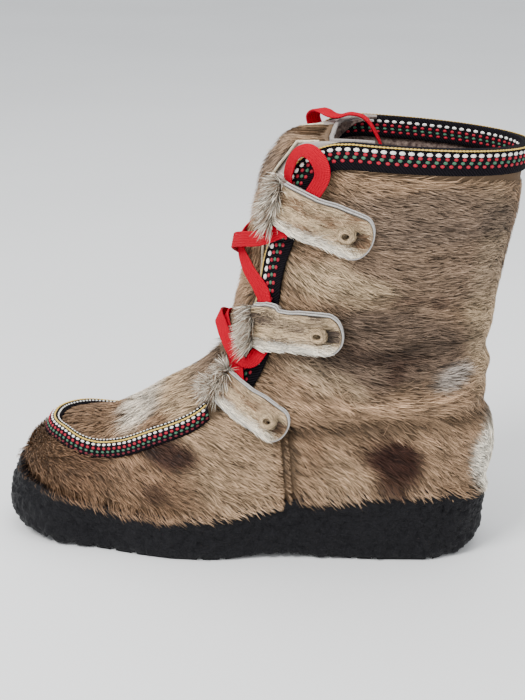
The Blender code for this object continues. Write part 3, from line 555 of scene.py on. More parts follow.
def line_distance(at, line):
    """Distance from points to a line of straight pieces, with both in the same two measures."""
    far = np.full(at.shape[:-1], 1e3)
    for a, b in zip(line[:-1], line[1:]):
        a, b = np.array(a, float), np.array(b, float)
        t = np.clip(((at - a) @ (b - a)) / ((b - a) @ (b - a)), 0, 1)
        far = np.minimum(far, np.linalg.norm(at - a - t[..., None] * (b - a), axis=-1))
    return far


def coat(points, patches, which=0, lines=()):
    """Colour of the coat at points: each patch is a soft ellipse with a frayed outline."""
    mm = points * 1000
    frayed = mm + 3.4 * np.stack([cloud(points, .012, (which + k) % 6) for k in range(3)], -1)
    colour = np.broadcast_to(PELT["tan"], mm.shape).copy()
    for values in patches:
        p = dict(zip(PATCH_COLUMNS, values))
        cos, sin = np.cos(np.radians(p["tilt"])), np.sin(np.radians(p["tilt"]))
        y, z = frayed[..., 1] - p["y"], frayed[..., 2] - p["z"]
        far = np.hypot((y * cos + z * sin) / p["long"], (z * cos - y * sin) / p["high"])
        share = p["strength"] * (1 - ramp(far, .62, 1.25))
        colour += share[..., None] * (PELT[p["colour"]] - colour)
    # Lines of painted highlight and shade, and the darker side seams
    for line, half_width, change in lines:
        far = line_distance(mm[..., 1:], line)
        colour = colour * (1 + change * np.exp(-(far / half_width) ** 2))[..., None]
    wide = 1 + .16 * cloud(points, .03, which) + .12 * cloud(points * (1, .4, 1), .006, (which + 1) % 6)
    return colour * wide[..., None]


def shell_coat(points):
    """Colour of the main hide, with other patches on its inner side than on its outer side."""
    outer = coat(points, PATCHES, 0, PAINTED_LIGHT_AND_SEAM_LINES)
    inner = coat(points, INNER_PATCHES, 2, PAINTED_LIGHT_AND_SEAM_LINES)
    share = ramp(points[..., 0], -.014, .006)[..., None]
    return inner + share * (outer - inner)


# Ridge, crease and side seam of the hide: points as y and z in millimetres, half width and height
RELIEFS = (
    (((18, 99), (58, 101), (95, 101), (119, 107), (138, 119)), 5.0, .0030),
    (((18, 79), (45, 83), (70, 86), (100, 89), (125, 91), (145, 92)), 5.5, -.0040),
    (((30, 92), (60, 93), (100, 95), (130, 99)), 4.0, .0010),
    (SIDE_SEAMS[0], 1.6, -.0013),
    (SIDE_SEAMS[1], 1.3, -.0011),
    (((60, 132), (100, 134), (140, 128)), 9.0, -.0014),
    (((50, 200), (100, 196), (150, 205)), 20.0, .0012),
)


def relief(points):
    """Height of the hide's ridges and creases: each fades with the distance from its line."""
    at = points[..., 1:] * 1000
    total = .0006 * cloud(points, .024, 2) + .0004 * cloud(points, .010, 3)
    for line, half_width, high in RELIEFS:
        total = total + high * np.exp(-(line_distance(at, line) / half_width) ** 2)
    return total


hide_finish = Finish("hide", roughness=0.8, specular_ior_level=0.1)
hide_finish.wire("Base Color", hide_finish.attribute("tint"))
hide_finish.relief(hide_finish.noise(2500, 2), 0.0003)
pile_finish = mottled(
    "pile", (420, 3, 0.6), (0.35, 0.65), (66, 50, 46), (134, 116, 106), (300, 4, 0.6, 0.0015),
    roughness=0.95, specular_ior_level=0.2, sheen_weight=0.3)


def back(thing, name, thick):
    """Gives a piece its thickness, with the second of its materials on the back."""
    wall = thing.modifiers.new(name, "SOLIDIFY")
    wall.thickness, wall.offset = thick, -1
    wall.material_offset, wall.material_offset_rim = 1, 0


HIDE_ROWS = np.unique(np.r_[np.arange(0, LAST_PLACE + .01, 0.1), PLUG_END])
HIDE_COLUMNS = 44
PANEL_COLUMNS = 16
HIDE_SINK = 0.0004
LINING_GAP = 0.0002
# The hide under the hair is painted darker by this share: painted shade between the hairs
UNDER_HAIR_SHADE = 0.5
points, faces, tints = [], [], []
for side in (1.0, -1.0):
    wall = np.linspace(0, 1, HIDE_COLUMNS)[None] * edge_share(HIDE_ROWS)[:, None]
    rows = HIDE_ROWS[HIDE_ROWS <= PLUG_END]
    edge = edge_share(rows)[:, None]
    panel = edge + np.linspace(0, 1, PANEL_COLUMNS)[None] * (1 - edge)
    for rows, share, patches in ((HIDE_ROWS, wall, PATCHES), (rows, panel, PLUG_PATCHES)):
        place = np.broadcast_to(rows[:, None], share.shape)
        flat = skin(place, share, side)
        raised = relief(flat) * ramp(flat[..., 2] - rim_height(place), 0, .012) - HIDE_SINK
        start = sum(len(p) for p in points)
        points.append(skin(place, share, side, raised).reshape(-1, 3))
        tone = shell_coat(flat) if patches is PATCHES else coat(flat, patches)
        # painted shade between the hairs darkens the hide
        tints.append(tone.reshape(-1, 3) * UNDER_HAIR_SHADE)
        faces.append(grid_faces(*share.shape, start, flip=side < 0))
hide = put("hide", np.vstack(points), faces, [hide_finish, pile_finish], np.vstack(tints), merge=2e-6)
back(hide, "lining", WALL - LINING_GAP)
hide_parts("upper")

# Laces
# One flat red lace, woven with lengthwise ribs. Two runs cross over the tongue at each level between
# the tabs. Of the two free ends that leave the top tabs, the outer one loops back behind its tab and
# the inner one goes down inside the boot.
LACE_WIDTH = 0.0090
LACE_THICK = 0.0015
LACE_RIBS = 6
LACE_RIB_HIGH = 0.00040
LACE_ROW_GAP = 0.0009
LACE_BANK = 0.0080
CUT_ROWS = 14
LEAN_ROWS = 6
OVER_LIFT = 0.0024
UNDER_SINK = 0.0016
LACE_LEVEL = 0.0058
LACE_POINTS = 300
# Runs over the tongue from a tab to the one below on the other side: place, girth share short of the
# front centre (minus on the far side) and height over the last
UPPER_RUN = (
    (14.45, .150, .0056), (13.95, .075, .0050), (13.4, 0, .0042), (13.05, -.080, .0046),
    (12.8, -.140, .0056),
)
LOWER_RUN = (
    (8.3, .248, .0066), (8.0, .210, .0072), (7.95, .150, .0066), (8.05, .070, .0048),
    (8.0, 0, .0042), (7.9, -.080, .0050), (7.8, -.145, .0062), (7.6, -.190, .0062),
)
# Where the lace leaves the tabs: place and share, and the way of the tab's edge there
MOUTHS = {
    "top_low": (15.023, .7770, (-.45, -.83, .32)), "mid_high": (12.577, .8365, (-.42, -.90, -.14)),
    "mid_low": (9.218, .7637, (-.36, -.93, .05)), "low_high": (7.317, .7594, (-.45, -.76, .47)),
    "top_high": (16.116, .6964, (-.31, -.89, .34)),
}
# Free ends: points in metres, and the way that the flat side looks at each
OUTER_END = (
    (.0515, .0405, .2370), (.0512, .0390, .2455), (.0470, .0325, .2510), (.0430, .0262, .2485),
    (.0400, .0222, .2410), (.0378, .0209, .2340), (.0360, .0219, .2260),
)
OUTER_END_LOOKS = (
    (1, -.1, .3), (.8, -.3, .8), (.5, -.6, .9), (.5, -1, .4), (.6, -1, 0), (.6, -1, 0), (.6, -1, 0),
)
INNER_END = (
    (-.0520, .0330, .2430), (-.0495, .0300, .2540),
    (-.0440, .0330, .2590), (-.0385, .0375, .2592), (-.0335, .0420, .2577), (-.0305, .0470, .2575),
    (-.0290, .0541, .2592), (-.0265, .0630, .2565), (-.0245, .0705, .2450), (-.0235, .0735, .2345),
    (-.0230, .0745, .2255),
)
INNER_END_LOOKS = (
    (-1, -.2, .1), (-1, -.3, .6), (-.5, -.4, 1), (-.1, -.2, 1), (0, -.1, 1),
    (0, -.2, 1), (0, .1, 1), (0, .7, 1), (0, 1, .4), (0, 1, .1), (0, 1, 0),
)


def curve_through(points, count):
    """A smooth curve through given points, as Catmull-Rom pieces.

    Between two points b and c with neighbours a and d it is the cubic whose slope at b is half of
    c - a, and at c half of d - b.
    """
    p = np.array(points, float)
    p = np.vstack([2 * p[0] - p[1], p, 2 * p[-1] - p[-2]])
    t = np.linspace(0, len(points) - 1 - 1e-9, count)
    i = t.astype(int)
    f = (t - i)[:, None]
    a, b, c, d = p[i], p[i + 1], p[i + 2], p[i + 3]
    return .5 * (2 * b + (c - a) * f + (2 * a - 5 * b + 4 * c - d) * f**2 + (3 * b - a - 3 * c + d) * f**3)


def run_along(line):
    """Length from a line's start to each of its points."""
    return np.append(0, np.cumsum(np.linalg.norm(np.diff(line, axis=0), axis=1)))


def even(points, looks, gap):
    """The same curve with rows an even gap apart."""
    run = run_along(points)
    at = np.linspace(0, run[-1], int(run[-1] / gap))
    return [np.stack([np.interp(at, run, v[:, k]) for k in range(3)], 1) for v in (points, looks)]


def unit(vectors):
    """Vectors of length one."""
    return vectors / np.maximum(np.linalg.norm(vectors, axis=-1, keepdims=True), 1e-12)


def soften(values, times):
    """Rows averaged with their neighbours, over and over, with the ends kept."""
    for _ in range(times):
        values[1:-1] = (values[:-2] + 2 * values[1:-1] + values[2:]) / 4
    return values


# The lace's outline across: ribs on both faces and round edges, as (across, up) in metres
round_at = np.linspace(-1, 1, 6 * LACE_RIBS + 1)
rib_up = LACE_THICK / 2 - LACE_RIB_HIGH * (1 - np.abs(np.sin(np.pi * (round_at + 1) / 2 * LACE_RIBS)))
rib_up = rib_up * np.sqrt(np.clip(1 - (np.abs(round_at) / 1.02) ** 14, 0, 1))
LACE_PROFILE = np.vstack([
    np.stack([round_at * LACE_WIDTH / 2, rib_up], 1), np.stack([-round_at * LACE_WIDTH / 2, -rib_up], 1),
])
lace_finish = Finish("lace", roughness=0.75, specular_ior_level=0.08)
lay = lace_finish.node("UVMap", {"uv_map": "lay"})
lace_weave = lace_finish.node("TexWave", {"bands_direction": "DIAGONAL"}, output=1, i0=lay, i1=900.0, i2=1.0)
lace_rows = lace_finish.node("TexWave", {"bands_direction": "X"}, output=1, i0=lay, i1=420.0, i2=1.0)
thread = lace_finish.stretch(lace_weave * .5 + lace_rows * .5, 0.1, 0.9)
lace_finish.wire("Base Color", lace_finish.blend(thread, paint(132, 0, 20), paint(226, 2, 46)))
lace_finish.relief(thread, 0.0003)


def lace(name, points, looks, cuts=(None, None), bank=LACE_BANK):
    """A lace along a curve. In its bends it leans out by bank over their radius, and a cut slants its end."""
    centres, looks = even(np.array(points), np.array(looks), LACE_ROW_GAP)
    ahead = unit(np.gradient(centres, axis=0))
    step = np.linalg.norm(np.gradient(centres, axis=0), axis=1)[:, None]
    from_end = np.minimum(np.arange(len(step)), np.arange(len(step))[::-1])[:, None]
    bend = soften(np.gradient(ahead, axis=0) / step, 12)
    looks = unit(unit(looks) - bank * bend * np.clip(from_end / LEAN_ROWS, 0, 1))
    across = unit(soften(unit(np.cross(ahead, looks)), 10))
    up = unit(np.cross(across, ahead))
    for cut, order in ((cuts[0], np.arange(CUT_ROWS)), (cuts[1], -1 - np.arange(CUT_ROWS))):
        if cut is not None:
            slant = (np.array(cut) @ ahead[order[0]]) / (np.array(cut) @ across[order[0]])
            across[order] += ahead[order] * slant * (1 - np.arange(CUT_ROWS) / CUT_ROWS)[:, None]
    a, u = LACE_PROFILE[:, 0], LACE_PROFILE[:, 1]
    grid = centres[:, None] + a[None, :, None] * across[:, None] + u[None, :, None] * up[:, None]
    rows, count = grid.shape[:2]
    ring = np.arange(count)
    run = run_along(centres)
    uv = np.stack(np.broadcast_arrays(run[:, None], a[None]), -1)
    k = np.arange(count // 2 - 1)
    ends = [np.stack([cap[k], cap[count - 1 - k], cap[count - 2 - k], cap[k + 1]], 1)
            for cap in (ring, (rows - 1) * count + ring[::-1])]
    thing = put(name, grid, [ring_faces(rows, count)] + ends, lace_finish, uv=uv)
    return thing, centres, float(run[-1])


for level, run, above, below in (
    ("upper", UPPER_RUN, "top_low", "mid_high"), ("lower", LOWER_RUN, "mid_low", "low_high"),
):
    for side, label, lift in ((1.0, "over", OVER_LIFT), (-1.0, "under", -UNDER_SINK)):
        rows = [(MOUTHS[above][0], MOUTHS[above][1], side, LACE_LEVEL)]
        rows += [(p, 1 - abs(s), side if s >= 0 else -side, h + lift) for p, s, h in run]
        rows += [(MOUTHS[below][0], MOUTHS[below][1], -side, LACE_LEVEL)]
        place, share, on, high = np.array(rows).T
        points = curve_through(skin(place, share, on, high), LACE_POINTS)
        looks = curve_through(outward(place, share, on), LACE_POINTS)
        cuts = [np.array(MOUTHS[m][2]) * (s, 1, 1) for m, s in ((above, side), (below, -side))]
        thing, _, _ = lace(f"lace_{level}_{label}_ribbed", points, looks, cuts)
        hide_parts(f"lace_{level}_{label}")

for side, label, points, looks in (
    (1.0, "outer", OUTER_END, OUTER_END_LOOKS), (-1.0, "inner", INNER_END, INNER_END_LOOKS),
):
    place, share, cut = MOUTHS["top_high"]
    start, look = skin(place, share, side, LACE_LEVEL), outward(place, share, side)
    route = curve_through([start] + list(points), LACE_POINTS)
    ways = curve_through([look] + list(looks), LACE_POINTS)
    cuts = (np.array(cut) * (side, 1, 1), None)
    thing, centres, length = lace(f"lace_end_{label}_ribbed", route, ways, cuts, 0)
    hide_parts(f"lace_end_{label}")
    [tuple(p) for p in centres[::4]] + [tuple(centres[-1])]

# Coat
# The short hair of the hide. Every hair is a flat tapered blade with one bend, rooted in the hide and
# combed along the way that the coat lies: back and down on the foot, back and level on the leg.
hair_finish = Finish("hair", roughness=0.5, specular_ior_level=0.13)
hair_finish.wire("Base Color", hair_finish.attribute("tint"))
HAIR_PER_SQUARE_METRE = 0.98e6
HAIR_WIDTH = 0.00047
HAIR_ROLL = 0.6
HAIR_SINK = 0.0003
HAIR_STRAY = 0.16
# Tint of each blade's points from root to tip: painted shade between the hairs at the root, lighter at the
# tip
HAIR_ROOT_SHADE_TO_TIP = (0.30, 0.30, 1, 1, 1.7)
HAIR_TONES = (0.25, 2.1)
RIM_HANG = 0.0052


def hair_flow(points, normal, side):
    """The way that the coat lies at points: a wish in space that swings with the region."""
    y, z = points[..., 1] * 1000, points[..., 2] * 1000
    leg = ramp(z, 88, 112)
    level = ramp(y, 40, 85)
    down = np.where(leg > 0, .6 * (1 - leg) + leg * (.48 - .40 * level), .6)
    back = ramp(np.abs(normal[..., 1]) * (y > 60), .75, .98)
    way = np.stack([0 * y, 1 - .4 * back, -down - .7 * back], -1)
    turn = .28 * cloud(points, .014, 4) + .22 * cloud(points, .035, 5)
    across = np.cross(normal, way)
    return unit(way + across * turn[..., None])


def scatter(rng, count, low_place, high_place, low_share, high_share):
    """Random places, shares and sides, even over the area of a band between two share lines."""
    area = np.linalg.norm(np.cross(LAST_AHEAD, LAST_ACROSS), axis=2)
    inside = (places >= low_place) & (places <= high_place)
    low, high = low_share(places)[:, None], high_share(places)[:, None]
    area = area * inside[:, None] * (shares[None] >= low) * (shares[None] <= high)
    total = area.sum() * PLACE_STEP * SHARE_STEP
    picked = np.searchsorted(np.cumsum(area.ravel()) / area.sum(), rng.random(count))
    i, j = np.unravel_index(np.minimum(picked, area.size - 1), area.shape)
    place = np.clip((i + rng.random(count) - .5) * PLACE_STEP, low_place, high_place)
    share = np.clip((j + rng.random(count) - .5) * SHARE_STEP, 0, 1)
    return place, share, rng.choice([-1.0, 1.0], count), total


def free_run(at):
    """How far a hair can lie back before it would cross the side seam ahead of it."""
    y, z = at[:, 1] * 1000, at[:, 2] * 1000
    free = np.full(len(at), 99.0)
    for line in SIDE_SEAMS:
        seam_y = np.interp(z, *np.array(line[::-1], float)[:, ::-1].T)
        free = np.where((z < 85) & (seam_y > y), np.minimum(free, seam_y - y), free)
    return np.maximum(free + .9, 2.2) / 1000


def hair(name, rng, root, middle, tip, normal, colour, slot, width=HAIR_WIDTH, roll=HAIR_ROLL):
    """A piece of blades from roots, middles and tips: a quad and a triangle each, darker at the root as
    painted shade between the hairs.
    """
    across = unit(np.cross(unit(tip - root), normal))
    angle = rng.uniform(-roll, roll, len(root))[:, None]
    across = across * np.cos(angle) + normal * np.sin(angle)
    half = across * (width / 2)
    points = np.stack([root - half, root + half, middle + half * .9, middle - half * .9, tip], 1)
    start = np.arange(len(root))[:, None] * 5
    tint = colour[:, None] * np.array(HAIR_ROOT_SHADE_TO_TIP)[None, :, None]
    return put(name, points, [start + [0, 1, 2, 3], start + [3, 2, 4]], hair_finish, tint)


def comb(label, seed, low_place, high_place, low_share, high_share, flow, colour, length, lift,
         keep=None, drape=True):
    """A coat of blades over a band of the last, with each blade's middle and tip laid on it too."""
    rng = np.random.default_rng(seed)
    band = low_place, high_place, low_share, high_share
    *_, total = scatter(rng, 2, *band)
    place, share, side, _ = scatter(rng, int(2 * total * HAIR_PER_SQUARE_METRE), *band)
    at = skin(place, share, side)
    bare = at[:, 2] > rim_height(place) + .0005 if drape else at[:, 2] > 0
    if keep:
        bare &= keep(at)
    place, share, side, at = place[bare], share[bare], side[bare], at[bare]
    count = len(place)
    normal = outward(place, share, side)
    way = unit(flow(at, normal, side) + HAIR_STRAY * rng.standard_normal((count, 3)))
    long = (length(at) if callable(length) else length) * rng.uniform(.6, 1.15, count)
    if drape:
        long = np.minimum(long, free_run(at))
    high = lift * rng.uniform(.5, 1.6, count)
    root = skin(place, share, side, relief(at) - HAIR_SINK)
    spots = []
    for part_way, rise in ((.5, .75), (1.0, 1.0)):
        p, s, on = walk(place, share, side, way * (long * part_way)[:, None])
        spot = skin(p, s, on)
        over = RIM_HANG * ramp(rim_height(p) + .0035 - spot[:, 2], 0, .004) if drape else 0
        spots.append(skin(p, s, on, relief(spot) + high * rise + over))
    tone = rng.normal(1, .46, count) + .36 * cloud(at * (1, .3, 1), .0030, 1)
    tint = colour(at) * np.clip(tone, *HAIR_TONES)[:, None]
    return hair(f"coat_{label}", rng, root, *spots, normal, tint, "fur")


def seam_share(gap):
    """The share that lies a gap short of the seam or throat edge, as a function of the place."""
    return lambda place: edge_share(place) - gap / np.interp(place, places, GIRTH)


def bottom(place):
    """The share of the footbed's edge."""
    return 0 * np.asarray(place, float)


def front(place):
    """The share of the front's middle."""
    return 1 + bottom(place)


def off_seams(at):
    """Whether points are clear of the side seams."""
    return np.minimum(*[line_distance(at[:, 1:] * 1000, line) for line in SIDE_SEAMS]) > .7


def toe_length(at):
    """Length of the toe's hair, which is shortest at the tip."""
    return .006 + .003 * ramp(at[:, 1], -.13, -.08)


def plug_flow(at, normal, side):
    """The way that the coat lies on the front panel: forwards, down and a little outwards."""
    way = np.stack([.3 * side, 0 * side - .9, 0 * side - .5], -1)
    return unit(way + np.cross(normal, (0, 1, 0)) * .3 * cloud(at, .012, 4)[:, None])


def plug_coat(at):
    """Colour of the front panel."""
    return coat(at, PLUG_PATCHES)


# Coats of the shell: lowest and highest place, what they keep short of, length, lift and what they spare
BRAID_GAP = 0.0052
EDGE_GAP = 0.0108
COATS = (
    ("toe", 0, 3.2, BRAID_GAP, toe_length, .0014, None),
    ("vamp", 3.2, 7.2, BRAID_GAP, .0095, .0011, off_seams),
    ("quarter", 7.2, 11.6, EDGE_GAP, .0105, .0012, off_seams),
    ("ankle", 11.6, 14.0, EDGE_GAP, .011, .0012, None),
    ("shaft", 14.0, 15.6, EDGE_GAP, .011, .0010, None),
    ("collar", 15.6, 16.62, EDGE_GAP, .010, .0012, None),
)
for seed, (label, low, high, gap, length, lift, keep) in enumerate(COATS, 1):
    comb(label, seed, low, high, bottom, seam_share(gap), hair_flow, shell_coat, length, lift, keep)
comb("plug", 7, 0, 6.6, seam_share(-.0045), front, plug_flow, plug_coat, .010, .0012, drape=False)

# Tongue
# The wide tongue of the same fur. Its sides under the throat edge are grey felt, with a pale welt
# between, and it stands over the collar in front.
TONGUE_THICK = 0.0035
TONGUE_START = 5.5
TONGUE_RISE = 0.006
TONGUE_SIDE_RISE = 0.0009
TONGUE_LEAN = 0.028
TONGUE_DROP = 0.0105
TONGUE_DEEP = 0.0058
TONGUE_ROWS = 150
TONGUE_COLUMNS = 81
TONGUE_WELT = (
    (10, .905), (12.95, .893), (14.15, .893), (14.83, .915), (16.02, .895), (16.75, .855), (18, .82),
)


def tongue_point(place, share, side, height):
    """A point of the tongue: it follows the last, rises over the collar and leans back into the boot."""
    on = np.minimum(place, LAST_PLACE)
    point = skin(on, share, side, height)
    past, above = np.maximum(place - (LAST_PLACE - 1), 0), np.maximum(place - LAST_PLACE, 0)
    ahead = unit(mirrored(read(LAST_AHEAD, on, share), side))
    middle = ramp(share, .57, .98)
    rise = TONGUE_SIDE_RISE + (TONGUE_RISE - TONGUE_SIDE_RISE) * middle
    point += ahead * (above * rise)[..., None]
    lean = np.stack([0 * past, TONGUE_LEAN * past * past / 4, -TONGUE_DROP * past / 2], -1)
    return point + lean * middle[..., None]


felt_finish = mottled(
    "felt", (900, 4, 0.7), (0.3, 0.7), (118, 108, 103), (172, 162, 154), (1800, 3, 0.7, 0.0005),
    roughness=0.95, specular_ior_level=0.15, sheen_weight=0.3)
rows = np.linspace(TONGUE_START, LAST_PLACE + 1, TONGUE_ROWS)
side_share = .93 * (edge_share(np.minimum(rows, LAST_PLACE)) - .0027 / np.interp(rows, places, GIRTH))
v = np.linspace(-1, 1, TONGUE_COLUMNS)
share = side_share[:, None] + (1 - side_share[:, None]) * (1 - np.abs(v))[None]
side = np.broadcast_to(np.where(v < 0, -1.0, 1.0), share.shape)
place = np.broadcast_to(rows[:, None], share.shape)
flat = tongue_point(place, share, side, -TONGUE_DEEP)
welt = np.interp(place, *np.array(TONGUE_WELT).T)
furry = ramp(share - welt, -.004, .004) * ramp(place, 5, 6) + (place < 10)
furry = np.clip(furry, 0, 1)
wave = .0004 * cloud(flat, .012, 2)
# The furry part of the tongue's hide is painted darker by .6: painted shade between the hairs
tongue = put(
    "tongue_hide", tongue_point(place, share, side, -TONGUE_DEEP + wave), grid_faces(*share.shape, flip=True),
    [hide_finish, pile_finish],
    coat(flat, TONGUE_PATCHES) * .6 * furry[..., None] + (1 - furry[..., None]) * paint(168, 158, 150),
)
back(tongue, "backing", TONGUE_THICK)
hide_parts("tongue")


# Hair over the tongue, laid down and forward, with each blade's middle and tip on the tongue
TONGUE_HAIRS = 30000
TONGUE_HAIR_PLACES = (6.3, 17.9)
TONGUE_HAIR_LENGTH = 0.012
TONGUE_HAIR_LIFT = 0.0034
TONGUE_TOP_STEP = 0.024
rng = np.random.default_rng(8)
low_place, high_place = TONGUE_HAIR_PLACES
place = rng.uniform(low_place, high_place + .4, TONGUE_HAIRS)
place = np.where(place > high_place, rng.uniform(LAST_PLACE, high_place, TONGUE_HAIRS), place)
on = np.minimum(place, LAST_PLACE)
low = .97 * edge_share(on)
share = low + (1 - low) * rng.random(TONGUE_HAIRS)
side = rng.choice([-1.0, 1.0], TONGUE_HAIRS)
stay = share > np.interp(place, *np.array(TONGUE_WELT).T) + .008
place, share, side, on = place[stay], share[stay], side[stay], on[stay]
count = len(place)
at = tongue_point(place, share, side, -TONGUE_DEEP)
long = TONGUE_HAIR_LENGTH * rng.uniform(.6, 1.15, count)
high = TONGUE_HAIR_LIFT * rng.uniform(.4, 1.8, count)
a, b = [np.linalg.norm(read(grid, on, share), axis=1) for grid in (LAST_AHEAD, LAST_ACROSS)]
a = np.where(place > LAST_PLACE, TONGUE_TOP_STEP, a)
angle = rng.normal(.15, .22, count) * side + .5 * cloud(at, .014, 4)
spots = [tongue_point(place, share, side, -TONGUE_DEEP - HAIR_SINK)]
for part_way, rise in ((.5, .7), (1.0, 1.0)):
    p = place - np.cos(angle) * long * part_way / a
    s = np.clip(share + np.sin(angle) * long * part_way / b * side, 0, 1)
    spots.append(tongue_point(np.maximum(p, TONGUE_START), s, side, -TONGUE_DEEP + high * rise))
tone = rng.normal(1, .44, count) + .30 * cloud(at * (1, 1, .35), .0035, 1)
tint = coat(at, TONGUE_PATCHES) * np.clip(tone, *HAIR_TONES)[:, None]
hair("coat_tongue", rng, *spots, outward(on, share, side), tint, "fur")


def rope(name, points, radius, finish):
    """A round welt or rolled edge along points."""
    ahead = unit(soften(np.gradient(points, axis=0), 4))
    across = unit(np.cross(ahead, (.3, .2, .9)))
    up = np.cross(across, ahead)
    turn = np.arange(8) * np.pi / 4
    ring = np.cos(turn)[None, :, None] * across[:, None] + np.sin(turn)[None, :, None] * up[:, None]
    return put(name, points[:, None] + radius * ring, ring_faces(len(points), 8), finish)


welt_finish = mottled(
    "welt", (900, 3), (0.3, 0.7), (196, 180, 150), (232, 222, 198), (1600, 2, 0.0003),
    roughness=0.8, specular_ior_level=0.2)
EDGE_POINTS = 90
welt_places = np.linspace(12.6, 17.75, EDGE_POINTS)
welt_shares = np.interp(welt_places, *np.array(TONGUE_WELT).T)
for side, side_name in ((1.0, "outer"), (-1.0, "inner")):
    line = tongue_point(welt_places, welt_shares, np.full(EDGE_POINTS, side), -TONGUE_DEEP + .0022)
    rope(f"tongue_welt_{side_name}", line, .0008, welt_finish)
v = np.linspace(-1, 1, EDGE_POINTS)
top_share = side_share[-1] + (1 - side_share[-1]) * (1 - np.abs(v))
top_place = np.full(EDGE_POINTS, LAST_PLACE + 1.0)
rolled = tongue_point(top_place, top_share, np.where(v < 0, -1.0, 1.0), -TONGUE_DEEP - TONGUE_THICK / 2)
rope("tongue_rolled_edge", rolled, .0014, felt_finish)

# Braid
# A black woven braid with rows of bright thread: a gold edge, ovals of white, then red and green in
# turn. One length is folded over the raised seam of the front, one over the throat and collar edges.
BRAID = 0.0012
BRAID_FIT = 0.0005
BRAID_OUTSIDE = 0.0125
BRAID_INSIDE = 0.0110
EDGE_BRAID_START = 6.55
VAMP_BRAID_END = 5.5
THROAT_POINTS = 320
COLLAR_POINTS = 120
SEAM_POINTS = 150
SEAM_MIDDLE = 100
RIB_HIGH = 0.0032
THREADS = {
    "gold": paint(214, 178, 84), "white": paint(250, 248, 240), "red": paint(168, 10, 40),
    "green": paint(62, 110, 84), "wine": paint(104, 10, 30),
}
braid_finish = Finish("braid", roughness=0.9, specular_ior_level=0.1)
weave_at = braid_finish.node("UVMap", {"uv_map": "lay"})
weave = braid_finish.node("TexWave", {"bands_direction": "DIAGONAL"}, output=1, i0=weave_at, i1=330.0, i2=2.0)
braid_finish.wire("Base Color", braid_finish.blend(weave, paint(7, 6, 9), paint(26, 22, 28)))
braid_finish.relief(weave, 0.0006)
thread_finish = Finish("thread", roughness=0.55, specular_ior_level=0.4)
thread_finish.wire("Base Color", thread_finish.attribute("tint"))
thread_finish.relief(thread_finish.noise(3500, 1), 0.0002)

# One bead of thread: a low dome of rings, as (ahead, across, up) in shares of its half size
BEAD_COUNT = 8
BEAD_RINGS = ((1, 0), (.82, .55), (.45, .9))
ring_turn = np.arange(BEAD_COUNT) * 2 * np.pi / BEAD_COUNT
BEAD = np.vstack([
    np.stack([np.cos(ring_turn) * r, np.sin(ring_turn) * r, 0 * ring_turn + h], 1) for r, h in BEAD_RINGS
] + [[(0, 0, 1.0)]])
BEAD_QUADS = ring_faces(len(BEAD_RINGS), BEAD_COUNT)
k = np.arange(BEAD_COUNT)
BEAD_TRIS = np.stack([16 + k, 16 + (k + 1) % BEAD_COUNT, 24 + 0 * k], 1)


def beads(name, rows):
    """Domes of thread. A row holds centres, ahead and up ways, half sizes (long, wide, high), a colour."""
    points, quads, tris, tints, start = [], [], [], [], 0
    for centre, ahead, up, size, colour in rows:
        across = np.cross(up, ahead)
        shape = BEAD * size
        made = centre[:, None] + shape[None, :, :1] * ahead[:, None] + shape[None, :, 1:2] * across[:, None]
        made = made + shape[None, :, 2:] * up[:, None]
        first = start + np.arange(len(centre))[:, None, None] * len(BEAD)
        points.append(made.reshape(-1, 3))
        quads.append((first + BEAD_QUADS).reshape(-1, 4))
        tris.append((first + BEAD_TRIS).reshape(-1, 3))
        tints.append(np.repeat(np.broadcast_to(colour, (len(centre), 3)), len(BEAD), axis=0))
        start += len(centre) * len(BEAD)
    faces = [np.vstack(quads), np.vstack(tris)]
    return put(name, np.vstack(points), faces, thread_finish, np.vstack(tints))


def braid_cloth(name, grid, quads, line, middle):
    """The braid's cloth, with a UV of the length along a line and round its outline at a middle row."""
    uv = np.stack(np.broadcast_arrays(run_along(line)[:, None], run_along(grid[middle])[None]), -1)
    return put(name, grid, [quads], braid_finish, uv=uv)


def spaced(line, pitch, offset=0.0):
    """Fractional row numbers along a line of points, a pitch apart."""
    run = run_along(line)
    at = np.arange(pitch * (.5 + offset), run[-1] - pitch * .3, pitch)
    return np.interp(at, run, np.arange(len(line)))


def pick(values, at):
    """Values read at fractional row numbers."""
    i = np.minimum(at.astype(int), len(values) - 2)
    f = (at - i)[:, None]
    return values[i] * (1 - f) + values[i + 1] * f


def bead_row(line, ahead, look, size, colour, pitch, shift=0.0):
    """Centres, ways, half sizes and colour of beads that lie a pitch apart along a line."""
    at = spaced(line, pitch, shift)
    return pick(line, at), unit(pick(ahead, at)), unit(pick(look, at)), size, THREADS[colour]


# The edge braid's route, from the outer throat up, round the collar and down the inner throat
up_throat = np.linspace(EDGE_BRAID_START, LAST_PLACE, THROAT_POINTS)
throat_share = edge_share(up_throat)
round_collar = np.linspace(throat_share[-1], 0, COLLAR_POINTS)[1:]
half_route = np.stack([
    np.r_[up_throat, np.full(len(round_collar), float(LAST_PLACE))], np.r_[throat_share, round_collar],
], 1)
place = np.r_[half_route[:, 0], half_route[-2::-1, 0]]
share = np.r_[half_route[:, 1], half_route[-2::-1, 1]]
side = np.r_[np.ones(len(half_route)), -np.ones(len(half_route) - 1)]
spots = skin(place, share, side)
ahead = unit(soften(np.gradient(spots, axis=0), 6))
normal = outward(place, share, side)
inwards = unit(np.cross(ahead, normal))
step = np.stack(surface_step(place, share, side, inwards), 1)
if inwards[len(inwards) // 2, 2] > 0:
    step, inwards = -step, -inwards
step = soften(step, 4)


def off_edge(deep, height):
    """Points deep inside the edge along the whole route, at a height off the last."""
    far = np.minimum(place + step[:, 0] * deep, LAST_PLACE)
    across = share + step[:, 1] * deep
    return skin(far, np.abs(across), np.where(across < 0, -side, side), height)


